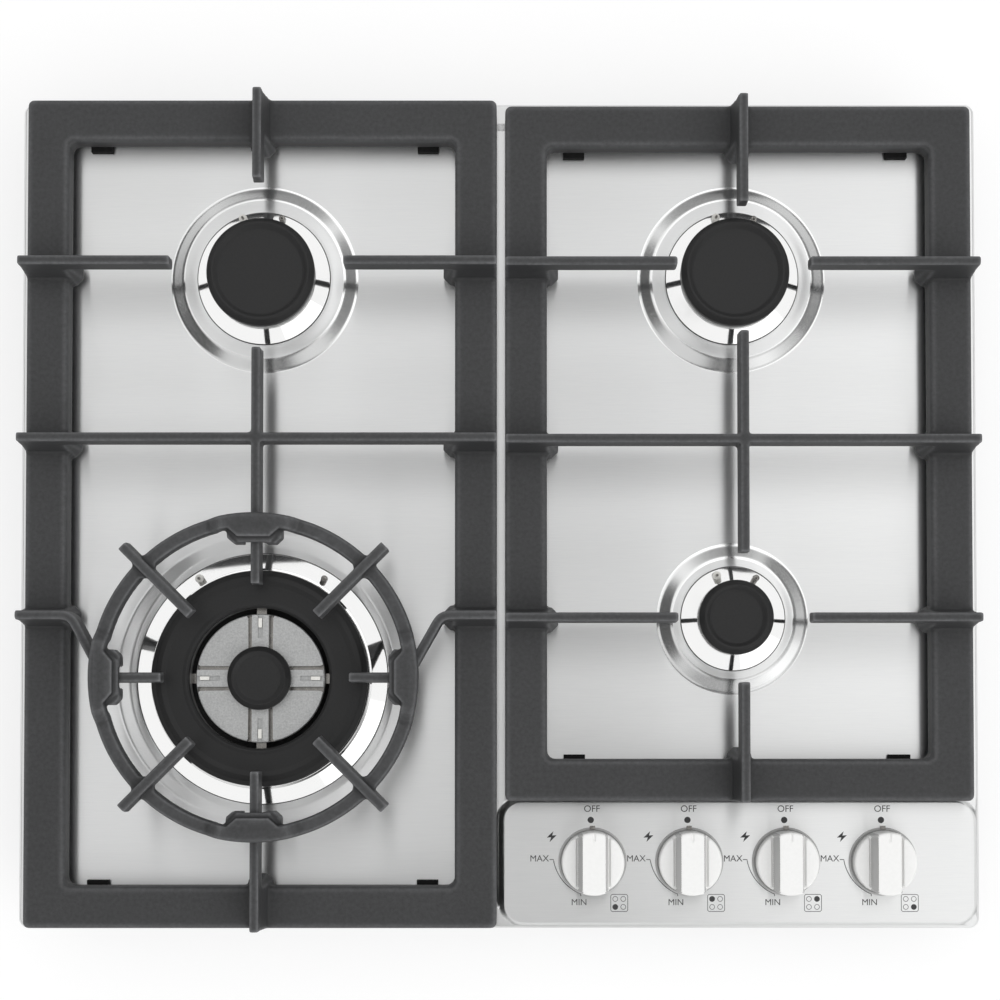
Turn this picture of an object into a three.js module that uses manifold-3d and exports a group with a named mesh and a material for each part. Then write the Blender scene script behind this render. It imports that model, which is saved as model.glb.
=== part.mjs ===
// A built-in gas cooktop with four burners: a stainless steel deck with a raised control panel,
// two cast-iron grates, a lift-off wok ring, and the gas parts below the deck.
// Millimetres. +X is right, +Y is the back, +Z is up. The origin is under the middle of the deck,
// on the underside of the burner box.
import * as THREE from 'three';
import { mergeVertices } from 'three/addons/utils/BufferGeometryUtils.js';
import Module from 'manifold-3d';

const wasm = await Module();
wasm.setup();

// ---------------------------------------------------------------- driving dimensions
const GAP = 0.3; // between pieces that touch
const PAST = 1; // how far a cutter reaches past a face, and a rib into what it joins
const ROUND_RING = 40; // sides of the wok ring
const ROUND_LARGE = 32; // sides of a wide turned piece
const ROUND_MEDIUM = 20;
const ROUND_SMALL = 12;
const ROUND_TINY = 8;

// Deck
const DECK_WIDTH = 590;
const DECK_DEPTH = 510;
const DECK_CORNER = 6;
const SHEET = 1.2;
const BOX_DEPTH = 46; // the burner box below the worktop's surface
const RIM_HEIGHT = 6; // the rim's top above the worktop
const RIM_EDGE_LIFT = 0.5; // the folded edge stays clear of the worktop
const RIM_FLAT = 12; // from the edge to where the deck dips
const HALF_W = DECK_WIDTH / 2;
const HALF_D = DECK_DEPTH / 2;
const DISH_SLOPE = 4; // plan width of the slope down to the floor
const DISH_DEPTH = 2.5; // the floor below the rim's top

// Control panel
const PANEL_LEFT = 3.2; // right of the deck's middle
const PANEL_DEPTH = 76.9; // from the deck's front edge to the panel's back
const PANEL_BACK = PANEL_DEPTH - HALF_D;
const PANEL_MARGIN = 4; // rim left at the right and at the front
const PANEL_RISE = 4; // above the rim
const PANEL_SLOPE = 3.6;
const PANEL_SLOPE_FOOT = 1; // below the rim, where the slope starts
const PANEL_CORNER = 11;

// Gasket and burner box
const GASKET_WIDTH = 8;
const BOX_MARGIN = 19.5; // from the deck's edge to the box's wall
const BOX_WALL = 1;
const BOX_CORNER = 8;
const VENT_LENGTH = 90;
const VENT_WIDTH = 8;
const VENT_COLUMNS = 165.3; // from one vent's middle to the next one's
const VENT_ROWS = 117.8;

// Grates
const FRAME_BAR = 25.5; // width of a frame bar
const FRAME_CORNER = 3;
const FRAME_INNER_CORNER = 5;
const FRAME_WALL = 4.2; // the bars are channels, open below
const FRAME_LIFT = 3; // underside above the rim
const FRAME_HEIGHT = 14;
const GRATE_SPLIT = 1.2; // middle of the gap between the grates, right of the deck's middle
const GRATE_GAP = 5.2;
const GRATE_SIDE = 6.4; // from the deck's side to a grate
const GRATE_FRONT = 1.5; // from the deck's front edge, or from the panel, to a grate
const LEFT_GRATE_BACK = 2.5; // from the deck's back edge
const RIGHT_GRATE_BACK = 6.2;
const RIB_HEIGHT = 24; // rib tops above the frame's top
const RIB_TOP = 5.3;
const RIB_BASE = 6.5;
const RIB_DEPTH = 13; // of the free part of a rib
const ROOT_HALF = 12; // half width of a rib's flared root
const ROOT_RADIUS = 9;
const ROOT_DROP = 9; // how far the root's nose reaches below the frame's top
const ROOT_NOSE = 5.5; // how far the root stands in from the frame's inner edge
const ROOT_FOOT = 0.2; // below the frame's top, where the flank's curve starts
const ROOT_FACETS = 3; // of the flank's curve
const LEFT_ROW_SHIFT = { back: 2.3, front: 0.2 }; // rows of ribs behind the burners' rows
const RIGHT_ROW_SHIFT = { back: 1.8, front: -1 };
const RIGHT_RIB_SHIFT = 2.8; // the middle line of ribs right of the burners' column
const LEFT_REACH = 52; // finger tips from the back-left burner's axis
const RIGHT_REACH = 39.8; // finger tips from the right burners' line
const MIDDLE_REACH = -2; // fingers on the middle line, against the others
const TRIPLE_REACH = 56; // finger tips from the triple burner's axis
const CRANK_START = 33; // the front fingers' first bend, in from the frame's outer edge
const CRANK_END = 90; // their second bend, from the triple burner's axis
const FOOT_INSET = 17; // along the bar, from the frame's inner corner
const FOOT_LENGTH = 13;
const FOOT_DEPTH = 12;
const FOOT_PEEP = 2.5; // how far a foot shows past the bar's inner face
const FOOT_PLUG = 9;
const FOOT_PLUG_HEIGHT = 5;

// Wok ring
const RING_OUTER = 98;
const RING_INNER = 88;
const RING_BELOW = 5; // band underside below the rib tops
const RING_ABOVE = 4; // band top above the rib tops
const RING_RISE = 9; // saddle and finger tops above the rib tops
const SADDLE_ANGLE = 14.2; // half angle, degrees
const SADDLE_INNER = 84;
const TAB_INNER = 79.4;
const TAB_OUTER = 88.4;
const TAB_WIDTH = 33;
const TAB_NOTCH = 10.7;
const TAB_DROP = 9;
const TAB_STEP = 1; // tab tops below the saddle tops
const ARCH_INNER = 76; // the arches below the saddles
const ARCH_OUTER = 102;
const RING_FINGER_IN = 52.6;
const RING_FINGER_OUT = 110;
const RING_FINGER_WIDTH = 7.5;
const RING_FINGER_DEPTH = 11;

// Burners: columns and rows, cap radius, and how far the electrode and the flame sensor stand
// round from +X
const LEFT_COLUMN_INSET = 149.6; // the left burners, in from the deck's left edge
const RIGHT_COLUMN_INSET = 151;
const BACK_ROW_INSET = 109.3;
const FRONT_ROW_INSET = 113.1; // the front right burner, behind the panel
const TRIPLE_ROW_INSET = 153; // the triple burner, behind the deck's front edge
const LEFT_COLUMN = LEFT_COLUMN_INSET - HALF_W;
const RIGHT_COLUMN = HALF_W - RIGHT_COLUMN_INSET;
const BACK_ROW = HALF_D - BACK_ROW_INSET;
const FRONT_ROW = PANEL_BACK + FRONT_ROW_INSET;
const TRIPLE_ROW = TRIPLE_ROW_INSET - HALF_D;
const SIMPLE_BURNERS = {
  back_left: {
    x: LEFT_COLUMN, y: BACK_ROW, cap: 33, skirt: 40.4, boss: 48.5, spark: 109, sensor: 72,
  },
  back_right: {
    x: RIGHT_COLUMN, y: BACK_ROW, cap: 33, skirt: 40.4, boss: 48.5, spark: 106, sensor: 70,
  },
  front_right: {
    x: RIGHT_COLUMN, y: FRONT_ROW, cap: 22.7, skirt: 31.5, boss: 38.5, spark: 112, sensor: 61,
  },
};
const TRIPLE = {
  x: LEFT_COLUMN, y: TRIPLE_ROW, cap: 65.7, skirt: 76.5, boss: 80, spark: 122, sensor: 58,
};
const LARGE_CAP = 50; // a wider cap gets more sides
const TRIPLE_CAP_INNER = 42.7;
const TRIPLE_BODY = 39.3;
const BODY_CHAMFER = 2;
const TRIPLE_INNER_CAP = 19.3;
const TRIPLE_ARM = 12.3;
const BOSS_RISE = 3.5;
const BOSS_SLOPE = 6;
const SKIRT_EDGE = 1;
const SKIRT_RISE = 6.3; // the cup's rim above the boss
const RIM_STEP = 1.6; // the cup's rim outside the cap's radius
const RIM_WIDTH = 1.2;
const CROWN_HEIGHT = 7.6;
const CROWN_WALL = 4.1;
const CROWN_INSET = 0.4; // the crown's wall inside the cap's edge
const CROWN_FLANGE = 1.2; // the crown's flange outside the cap's edge
const CROWN_FLANGE_HEIGHT = 1.5;
const SPIGOT_CLEARANCE = 0.5; // between the crown's spigot and the cup's bowl
const SPIGOT_DEPTH = 3;
const MIXER_DEPTH = 11; // the mixing tube below the crown's flange
const MIXER_WALL = 2.5;
const MIXER_RIM = 2; // above the flange's underside
const TRIPLE_STEP = 2; // the triple burner's walls below a simple crown's
const TRIPLE_WALL = 6.5;
const TRIPLE_INNER_WALL = 3;
const TRIPLE_FLOOR = 4; // the channel's floor below the flange's underside
const TRIPLE_FLOOR_THICK = 3;
const TRIPLE_MIXER = 6; // the middle tube below the channel's floor
const SEAT_WALL = 3; // of the inner cap's round seat
const SEAT_INSET = 1;
const PANEL_RECESS = 1.6; // the four sunk panels of the middle body
const PANEL_EDGE = { inner: 5, outer: 1.5 };
const ARM_SLOT = { length: 14, width: 3.2, depth: 2.5 };
const BRIDGE = { low: 0.4, high: 2.6 }; // the arms under the channel, above its floor
const BRIDGE_LAP = 4;
const CAP_HEIGHT = 7.7;
const CAP_EDGE = 4; // from the cap's edge to its recessed top
const CAP_RECESS = 0.9;
const CAP_SHOULDER = { height: 3.5, inset: 1.4, drop: 1, flat: 3 };
const CAP_DISH = 1.5; // plan width of the slope into the recess
const LOCATOR_HEIGHT = 1.5;
const LOCATOR_CLEARANCE = 0.5;
const OUTER_CAP = { height: 6, shoulder: 2.6, inset: 2.4, drop: 0.8, flat: 5, bevel: 1.5 };
const CUP_DEPTH = 33; // of the injector holder below the deck's boss
const THROAT = 9; // radius of a simple burner's mixing tube
const TRIPLE_THROAT = 18;
const HOLDER_WALL = 5;
const HOLDER_HEIGHT = 12;
const HOLDER_FLOOR = 4;
const HOLDER_CONE = 10; // height of the cone from the holder to the neck
const NECK_INSET = 2; // the neck inside the cap's edge
const NECK_WALL = 2;
const BOWL_DEPTH = 3;
const PORTS = ROUND_MEDIUM / 2; // one in the middle of every other side
const TRIPLE_PORTS = ROUND_LARGE / 2;
const PORT_OFFSET = 0.25; // of a pitch, which is the middle of a side
const PORT_WIDTH = 2;
const PORT_DEPTH = 3;
const CUP_CLEARANCE = 0.4; // round the cup's neck in the deck

// Electrode and flame sensor
const ROD_RADIUS = 2.2;
const ROD_COLLAR = 3.4;
const ROD_COLLAR_HEIGHT = 4;
const ROD_HOLE = 2.5;
const ROD_BELOW = 15;
const ROD_ABOVE = 8;
const SPARK_PIN = 0.9;
const SPARK_PIN_LENGTH = 3;
const SENSOR_TIP = 1.5;

// Knobs and valves
const KNOB_COUNT = 4;
const KNOB_PITCH = 59.27;
const KNOB_SIDE = 60; // the last knob's axis from the deck's right edge
const KNOB_FRONT = 41; // the knobs' axes from the deck's front edge
const KNOB_RADIUS = 19.1;
const KNOB_LIFT = 3.5; // leaves room for the 3 mm push
const KNOB_DISC = 6;
const KNOB_SHOULDER = 3; // the disc climbs towards the bar
const KNOB_HEIGHT = 19;
const KNOB_BAR = 14.6;
const KNOB_CHAMFER = 1.5;
const KNOB_NOTCH = { width: 1.2, length: 5, depth: 1 };
const SPINDLE_RADIUS = 4;
const SPINDLE_HOLE = 5.5;
const SPINDLE_SEAT = 14; // depth of the spindle in the knob
const PUSH = 3;
const SOCKET_FLOOR = 4; // of the plug, under the spindle
const PLUG_RADIUS = 7;
const PLUG_CLEARANCE = 0.3;
const VALVE_SIZE = 22;
const VALVE_HEIGHT = 22;
const VALVE_FLOOR = 3;
const PLUG_PROUD = 2;

// Gas line
const MANIFOLD_RADIUS = 7;
const MANIFOLD_SIDES = 8;
const MANIFOLD_STEPS = 22;
const MANIFOLD_LIFT = 2.5; // above the box's floor
const MANIFOLD_OVERHANG = 16;
const MANIFOLD_SIDE = 33; // its rear run from the deck's right edge
const MANIFOLD_BEND = 24;
const MANIFOLD_BEND_STEPS = 3;
const INLET_LENGTH = 34;
const INLET_PROUD = 16; // past the box's rear wall
const INLET_RADIUS = 9.5;
const INLET_BORE = 6;
const INLET_BORE_DEPTH = 12;
const INLET_NUT = 24;
const INLET_NUT_LENGTH = 10;
const PIPE_RADIUS = 3;
const PIPE_SIDES = 6;
const PIPE_STEPS = 20;
const PIPE_OUTLET = 13.2; // above the valve body's underside
const PIPE_DROP = 4; // the pipes run lower past the valves
const PIPE_STRAIGHT = 12; // out of a valve
const PIPE_SWEEP = 14; // plan size of a pipe's first bend
const PIPE_RUN_IN = 20; // straight into a burner's holder
const IGNITER = { fromLeft: 70, fromFront: 50, width: 62, depth: 36, height: 24, corner: 3 };
const IGNITER_TERMINALS = 4;
const TERMINAL = { width: 5, length: 6, lift: 12 };

// Clamp brackets
const CLAMP_WIDTH = 30;
const CLAMP_THICK = 2;
const CLAMP_REACH = 14;
const CLAMP_FOOT_LIFT = 4;
const CLAMP_TOP = 38;

// ---------------------------------------------------------------- heights and edges they give
const WORKTOP = BOX_DEPTH;
const RIM_TOP = WORKTOP + RIM_HEIGHT;
const FLOOR = RIM_TOP - DISH_DEPTH;
const BOSS_TOP = FLOOR + BOSS_RISE;
const PANEL_TOP = RIM_TOP + PANEL_RISE;
const BOX_HALF_W = HALF_W - BOX_MARGIN;
const BOX_HALF_D = HALF_D - BOX_MARGIN;
const BOX_TOP = FLOOR - SHEET - GAP;
const FRAME_BOTTOM = RIM_TOP + FRAME_LIFT;
const FRAME_TOP = FRAME_BOTTOM + FRAME_HEIGHT;
const RIBS_TOP = FRAME_TOP + RIB_HEIGHT;
const CUP_RIM = BOSS_TOP + GAP + SKIRT_RISE;
const CROWN_TOP = CUP_RIM + GAP + CROWN_HEIGHT;
const KNOB_BOTTOM = PANEL_TOP + KNOB_LIFT;
const MANIFOLD_Z = BOX_WALL + MANIFOLD_LIFT + MANIFOLD_RADIUS;
const VALVE_BOTTOM = MANIFOLD_Z + MANIFOLD_RADIUS + GAP;
const VALVE_TOP = VALVE_BOTTOM + VALVE_HEIGHT;
const PIPE_Z = VALVE_BOTTOM + PIPE_OUTLET;
const KNOB_Y = KNOB_FRONT - HALF_D;
const KNOB_X = Array.from({ length: KNOB_COUNT }, (_, i) => (
  HALF_W - KNOB_SIDE - (KNOB_COUNT - 1 - i) * KNOB_PITCH));
const MANIFOLD_SIDE_X = HALF_W - MANIFOLD_SIDE;
const LEFT_GRATE = {
  x0: GRATE_SIDE - HALF_W, x1: GRATE_SPLIT - GRATE_GAP / 2,
  y0: GRATE_FRONT - HALF_D, y1: HALF_D - LEFT_GRATE_BACK,
};
const RIGHT_GRATE = {
  x0: GRATE_SPLIT + GRATE_GAP / 2, x1: HALF_W - GRATE_SIDE,
  y0: PANEL_BACK + GRATE_FRONT, y1: HALF_D - RIGHT_GRATE_BACK,
};
const LEFT_RIB_X = LEFT_COLUMN;
const RIGHT_RIB_X = RIGHT_COLUMN + RIGHT_RIB_SHIFT;
const LEFT_ROWS = ribRows(LEFT_ROW_SHIFT);
const RIGHT_ROWS = ribRows(RIGHT_ROW_SHIFT);

// The cross rib stands halfway between the back row of ribs and the front one.
function ribRows(shift) {
  const [back, front] = [BACK_ROW + shift.back, FRONT_ROW + shift.front];
  return { back, middle: (back + front) / 2, front };
}

// ---------------------------------------------------------------- materials
const steel = new THREE.MeshStandardMaterial({ color: 0xc9cacc, roughness: 0.35, metalness: 1 });
const polished = new THREE.MeshStandardMaterial({ color: 0xe2e3e5, roughness: 0.12, metalness: 1 });
const castIron = new THREE.MeshStandardMaterial({ color: 0x4a4c4d, roughness: 0.75, metalness: 0.1 });
const enamel = new THREE.MeshStandardMaterial({ color: 0x2c2c2d, roughness: 0.5, metalness: 0.0 });
const castAluminium = new THREE.MeshStandardMaterial({ color: 0xa9abac, roughness: 0.55, metalness: 1 });
const brass = new THREE.MeshStandardMaterial({ color: 0xb8974f, roughness: 0.4, metalness: 1 });
const white = new THREE.MeshStandardMaterial({ color: 0xf4f4f2, roughness: 0.4, metalness: 0 });
const rubber = new THREE.MeshStandardMaterial({ color: 0x141414, roughness: 0.9, metalness: 0 });
const foam = new THREE.MeshStandardMaterial({ color: 0x303234, roughness: 0.95, metalness: 0 });
const galvanised = new THREE.MeshStandardMaterial({ color: 0xa4a9ab, roughness: 0.5, metalness: 1 });
const ceramic = new THREE.MeshStandardMaterial({ color: 0xeceae2, roughness: 0.3, metalness: 0 });
const copper = new THREE.MeshStandardMaterial({ color: 0xb0714f, roughness: 0.4, metalness: 1 });

// ---------------------------------------------------------------- solids
function toSolid(geometry) {
  const bare = geometry.clone();
  for (const name of Object.keys(bare.attributes)) {
    if (name !== 'position') bare.deleteAttribute(name);
  }
  const merged = mergeVertices(bare, 1e-4);
  const index = merged.index.array;
  const triangles = [];
  for (let i = 0; i < index.length; i += 3) {
    const [a, b, c] = [index[i], index[i + 1], index[i + 2]];
    if (a !== b && b !== c && c !== a) triangles.push(a, b, c);
  }
  if (signedVolume(merged.attributes.position.array, triangles) < 0) triangles.reverse();
  return new wasm.Manifold(new wasm.Mesh({
    numProp: 3,
    vertProperties: Float32Array.from(merged.attributes.position.array),
    triVerts: Uint32Array.from(triangles),
  }));
}

function signedVolume(at, triangles) {
  let six = 0;
  const [a, b, c] = [new THREE.Vector3(), new THREE.Vector3(), new THREE.Vector3()];
  for (let i = 0; i < triangles.length; i += 3) {
    a.fromArray(at, triangles[i] * 3);
    b.fromArray(at, triangles[i + 1] * 3);
    c.fromArray(at, triangles[i + 2] * 3);
    six += a.dot(b.cross(c));
  }
  return six;
}

function box(x0, x1, y0, y1, z0, z1) {
  const geometry = new THREE.BoxGeometry(x1 - x0, y1 - y0, z1 - z0);
  return toSolid(geometry.translate((x0 + x1) / 2, (y0 + y1) / 2, (z0 + z1) / 2));
}

// A solid with an outline in plan, from z0 up to z1.
function prism(shape, z0, z1, curveSegments = 5) {
  const settings = { depth: z1 - z0, bevelEnabled: false, curveSegments };
  return toSolid(new THREE.ExtrudeGeometry(shape, settings).translate(0, 0, z0));
}

// A profile of [radius, height] points turned about a vertical axis at x, y.
function turned(profile, sides, x = 0, y = 0) {
  const closed = profile[0][0] > 0 ? [...profile, profile[0]] : profile;
  const points = closed.map(([r, z]) => new THREE.Vector2(r, z));
  const geometry = new THREE.LatheGeometry(points, sides).rotateX(Math.PI / 2);
  return toSolid(geometry.translate(x, y, 0));
}

function disc(radius, z0, z1, sides, x = 0, y = 0) {
  return turned([[0, z0], [radius, z0], [radius, z1], [0, z1]], sides, x, y);
}

function roundedRect(x0, x1, y0, y1, radius) {
  const shape = new THREE.Shape();
  shape.moveTo(x0 + radius, y0);
  shape.lineTo(x1 - radius, y0);
  shape.absarc(x1 - radius, y0 + radius, radius, -Math.PI / 2, 0);
  shape.lineTo(x1, y1 - radius);
  shape.absarc(x1 - radius, y1 - radius, radius, 0, Math.PI / 2);
  shape.lineTo(x0 + radius, y1);
  shape.absarc(x0 + radius, y1 - radius, radius, Math.PI / 2, Math.PI);
  shape.lineTo(x0, y0 + radius);
  shape.absarc(x0 + radius, y0 + radius, radius, Math.PI, Math.PI * 1.5);
  return shape;
}

// A closed solid through convex outlines, each { x0, x1, y0, y1, radius, z }, from low to high.
function loft(levels, curveSegments = 4) {
  const rings = levels.map(({ x0, x1, y0, y1, radius }) => (
    roundedRect(x0, x1, y0, y1, radius).extractPoints(curveSegments).shape));
  const count = Math.min(...rings.map((ring) => ring.length));
  const positions = [];
  rings.forEach((ring, level) => {
    for (let i = 0; i < count; i += 1) positions.push(ring[i].x, ring[i].y, levels[level].z);
  });
  const index = [];
  for (let level = 0; level + 1 < rings.length; level += 1) {
    for (let i = 0; i < count; i += 1) {
      const a = level * count + i;
      const b = level * count + ((i + 1) % count);
      index.push(a, b, b + count, a, b + count, a + count);
    }
  }
  const top = (rings.length - 1) * count;
  for (let i = 1; i + 1 < count; i += 1) {
    index.push(0, i + 1, i);
    index.push(top, top + i, top + i + 1);
  }
  const geometry = new THREE.BufferGeometry();
  geometry.setAttribute('position', new THREE.Float32BufferAttribute(positions, 3));
  geometry.setIndex(index);
  return toSolid(geometry);
}

function union(solids) {
  return solids.reduce((whole, solid) => whole.add(solid));
}

// A round rod along a smooth route.
function tube(route, radius, sides, steps) {
  const points = route.map(([x, y, z]) => new THREE.Vector3(x, y, z));
  const section = new THREE.Shape();
  for (let i = 0; i < sides; i += 1) {
    const angle = (i / sides) * Math.PI * 2;
    const [x, y] = [Math.cos(angle) * radius, Math.sin(angle) * radius];
    if (i === 0) section.moveTo(x, y);
    else section.lineTo(x, y);
  }
  section.closePath();
  const curve = new THREE.CatmullRomCurve3(points, false, 'centripetal');
  const settings = { steps, bevelEnabled: false, extrudePath: curve };
  return toSolid(new THREE.ExtrudeGeometry(section, settings));
}

// A section of [across, z] points, run along a level line from one plan point to another.
function run(section, from, to) {
  const [dx, dy] = [to[0] - from[0], to[1] - from[1]];
  const length = Math.hypot(dx, dy);
  const shape = new THREE.Shape(section.map(([across, z]) => new THREE.Vector2(across, z)));
  const geometry = new THREE.ExtrudeGeometry(shape, { depth: length, bevelEnabled: false });
  const along = new THREE.Vector3(dx / length, dy / length, 0);
  const across = new THREE.Vector3(along.y, -along.x, 0);
  const basis = new THREE.Matrix4().makeBasis(across, new THREE.Vector3(0, 0, 1), along);
  basis.setPosition(from[0], from[1], 0);
  return toSolid(geometry.applyMatrix4(basis));
}

function aroundAxis(degrees, x, y) {
  const turn = new THREE.Matrix4().makeRotationZ(THREE.MathUtils.degToRad(degrees));
  return turn.setPosition(x, y, 0);
}

function placed(solid, matrix) {
  return solid.transform(matrix.toArray());
}

// ---------------------------------------------------------------- the object's tree
const cooktop = new THREE.Group();

function add(name, solid, material) {
  const { numProp, vertProperties, triVerts } = solid.getMesh();
  const positions = new Float32Array((vertProperties.length / numProp) * 3);
  for (let i = 0; i * numProp < vertProperties.length; i += 1) {
    for (let k = 0; k < 3; k += 1) positions[i * 3 + k] = vertProperties[i * numProp + k];
  }
  const geometry = new THREE.BufferGeometry();
  geometry.setAttribute('position', new THREE.BufferAttribute(positions, 3));
  geometry.setIndex(new THREE.BufferAttribute(triVerts, 1));
  geometry.computeVertexNormals();
  const mesh = new THREE.Mesh(geometry, material);
  mesh.name = name;
  cooktop.add(mesh);
}

// ---------------------------------------------------------------- burner figures shared by pieces
function burnerFigures({ x, y, cap, skirt, boss, spark, sensor }) {
  const rodRadius = (cap + RIM_STEP + RIM_WIDTH / 2 + skirt) / 2;
  const rod = (degrees) => {
    const angle = THREE.MathUtils.degToRad(degrees);
    return [x + Math.cos(angle) * rodRadius, y + Math.sin(angle) * rodRadius];
  };
  return { x, y, cap, skirt, boss, neck: cap - NECK_INSET, spark: rod(spark), sensor: rod(sensor) };
}

const simple = Object.fromEntries(Object.entries(SIMPLE_BURNERS).map(([name, figures]) => (
  [name, burnerFigures(figures)])));
const triple = burnerFigures(TRIPLE);
const burners = [...Object.values(simple), triple];
const sidesOf = ({ cap }) => (cap > LARGE_CAP ? ROUND_LARGE : ROUND_MEDIUM);

// ---------------------------------------------------------------- deck
function deckBlock(drop, inset) {
  const edge = { radius: DECK_CORNER - inset };
  const outline = (margin, z, extra = {}) => ({
    x0: -HALF_W + margin, x1: HALF_W - margin, y0: -HALF_D + margin, y1: HALF_D - margin,
    ...edge, z, ...extra,
  });
  const bottom = WORKTOP + RIM_EDGE_LIFT - drop;
  const slab = loft([outline(inset, bottom), outline(inset, RIM_TOP - drop)]);
  const dish = loft([
    outline(RIM_FLAT + DISH_SLOPE, FLOOR - drop),
    outline(RIM_FLAT, RIM_TOP - drop),
    outline(RIM_FLAT, RIM_TOP - drop + PAST),
  ]);
  const rises = burners.map((burner) => turned([
    [0, FLOOR - drop - SHEET / 2],
    [burner.boss + BOSS_SLOPE, FLOOR - drop - SHEET / 2],
    [burner.boss + BOSS_SLOPE, FLOOR - drop],
    [burner.boss, BOSS_TOP - drop],
    [0, BOSS_TOP - drop],
  ], sidesOf(burner), burner.x, burner.y));
  const island = (spread, z) => ({
    x0: PANEL_LEFT - spread,
    x1: HALF_W - PANEL_MARGIN + spread * (PANEL_MARGIN / PANEL_SLOPE) - inset,
    y0: -HALF_D + PANEL_MARGIN - spread * (PANEL_MARGIN / PANEL_SLOPE) + inset,
    y1: PANEL_BACK + spread,
    radius: PANEL_CORNER,
    z,
  });
  const panel = loft([
    island(PANEL_SLOPE, FLOOR - drop - SHEET / 2),
    island(PANEL_SLOPE, RIM_TOP - drop - PANEL_SLOPE_FOOT),
    island(0, PANEL_TOP - drop),
  ]);
  return union([slab.subtract(dish), ...rises, panel]);
}

function deckPlate() {
  const holes = burners.flatMap((burner) => [
    disc(burner.neck + CUP_CLEARANCE, WORKTOP, BOSS_TOP + PAST, sidesOf(burner), burner.x, burner.y),
    disc(ROD_HOLE, WORKTOP, BOSS_TOP + PAST, ROUND_TINY, ...burner.spark),
    disc(ROD_HOLE, WORKTOP, BOSS_TOP + PAST, ROUND_TINY, ...burner.sensor),
  ]);
  const knobHoles = KNOB_X.map((x) => (
    disc(SPINDLE_HOLE, WORKTOP, PANEL_TOP + PAST, ROUND_TINY, x, KNOB_Y)));
  const shell = deckBlock(0, 0).subtract(deckBlock(SHEET, SHEET));
  return shell.subtract(union([...holes, ...knobHoles]));
}

function rimGasket() {
  const outer = SHEET + GAP;
  const ring = (margin) => roundedRect(
    -HALF_W + margin, HALF_W - margin, -HALF_D + margin, HALF_D - margin, DECK_CORNER - outer,
  );
  const shape = ring(outer);
  shape.holes.push(ring(outer + GASKET_WIDTH));
  return prism(shape, WORKTOP, RIM_TOP - SHEET - GAP, 3);
}

// ---------------------------------------------------------------- burner box
const INLET = { x: MANIFOLD_SIDE_X, y: BOX_HALF_D + INLET_PROUD };

function burnerBox() {
  const level = (inset, z) => ({
    x0: -BOX_HALF_W + inset, x1: BOX_HALF_W - inset,
    y0: -BOX_HALF_D + inset, y1: BOX_HALF_D - inset, radius: BOX_CORNER - inset, z,
  });
  const shell = loft([level(0, 0), level(0, BOX_TOP)], 3)
    .subtract(loft([level(BOX_WALL, BOX_WALL), level(BOX_WALL, BOX_TOP + PAST)], 3));
  const vents = [-1, 0, 1].flatMap((column) => [-0.5, 0.5].map((row) => {
    const [x, y] = [column * VENT_COLUMNS, row * VENT_ROWS];
    return box(x - VENT_LENGTH / 2, x + VENT_LENGTH / 2, y - VENT_WIDTH / 2, y + VENT_WIDTH / 2,
      -PAST, BOX_WALL + PAST);
  }));
  const inletHole = round(INLET_RADIUS + GAP, INLET.x, BOX_HALF_D - BOX_CORNER,
    BOX_HALF_D + PAST, ROUND_SMALL);
  return shell.subtract(union([...vents, inletHole]));
}

// A rod of one radius along Y at the manifold's height.
function round(radius, x, y0, y1, sides) {
  const geometry = new THREE.CylinderGeometry(radius, radius, y1 - y0, sides);
  return toSolid(geometry.translate(x, (y0 + y1) / 2, MANIFOLD_Z));
}

// ---------------------------------------------------------------- grates
const rootSection = (() => {
  const points = [[-ROOT_HALF, FRAME_TOP - ROOT_DROP], [ROOT_HALF, FRAME_TOP - ROOT_DROP]];
  const flank = [];
  for (let i = 0; i <= ROOT_FACETS; i += 1) {
    const angle = (i / ROOT_FACETS) * (Math.PI / 2);
    flank.push([
      RIB_BASE / 2 + ROOT_RADIUS * (1 - Math.sin(angle)),
      FRAME_TOP + ROOT_RADIUS * (1 - Math.cos(angle)),
    ]);
  }
  points.push([ROOT_HALF, FRAME_TOP - ROOT_FOOT], ...flank, [RIB_TOP / 2, RIBS_TOP]);
  points.push([-RIB_TOP / 2, RIBS_TOP], ...flank.reverse().map(([across, z]) => [-across, z]));
  points.push([-ROOT_HALF, FRAME_TOP - ROOT_FOOT]);
  return points;
})();
const barSection = [
  [-RIB_BASE / 2, RIBS_TOP - RIB_DEPTH], [RIB_BASE / 2, RIBS_TOP - RIB_DEPTH],
  [RIB_TOP / 2, RIBS_TOP], [-RIB_TOP / 2, RIBS_TOP],
];
const ROOT_LENGTH = FRAME_BAR + ROOT_NOSE;

// The flared root of a rib that starts at a frame's outer edge and runs inwards.
function root([x, y], [dx, dy]) {
  return run(rootSection, [x, y], [x + dx * ROOT_LENGTH, y + dy * ROOT_LENGTH]);
}

function frame({ x0, x1, y0, y1 }) {
  const ring = (outer, inner, outerCorner, innerCorner) => {
    const shape = roundedRect(x0 + outer, x1 - outer, y0 + outer, y1 - outer, outerCorner);
    shape.holes.push(roundedRect(x0 + inner, x1 - inner, y0 + inner, y1 - inner, innerCorner));
    return shape;
  };
  return {
    body: prism(ring(0, FRAME_BAR, FRAME_CORNER, FRAME_INNER_CORNER), FRAME_BOTTOM, FRAME_TOP, 3),
    channel: prism(
      ring(FRAME_WALL, FRAME_BAR - FRAME_WALL, FRAME_CORNER, FRAME_INNER_CORNER),
      FRAME_BOTTOM - PAST, FRAME_TOP - FRAME_WALL, 2,
    ),
  };
}

function grate(outline, ribs) {
  const { body, channel } = frame(outline);
  return union([body, ...ribs]).subtract(channel);
}

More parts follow.
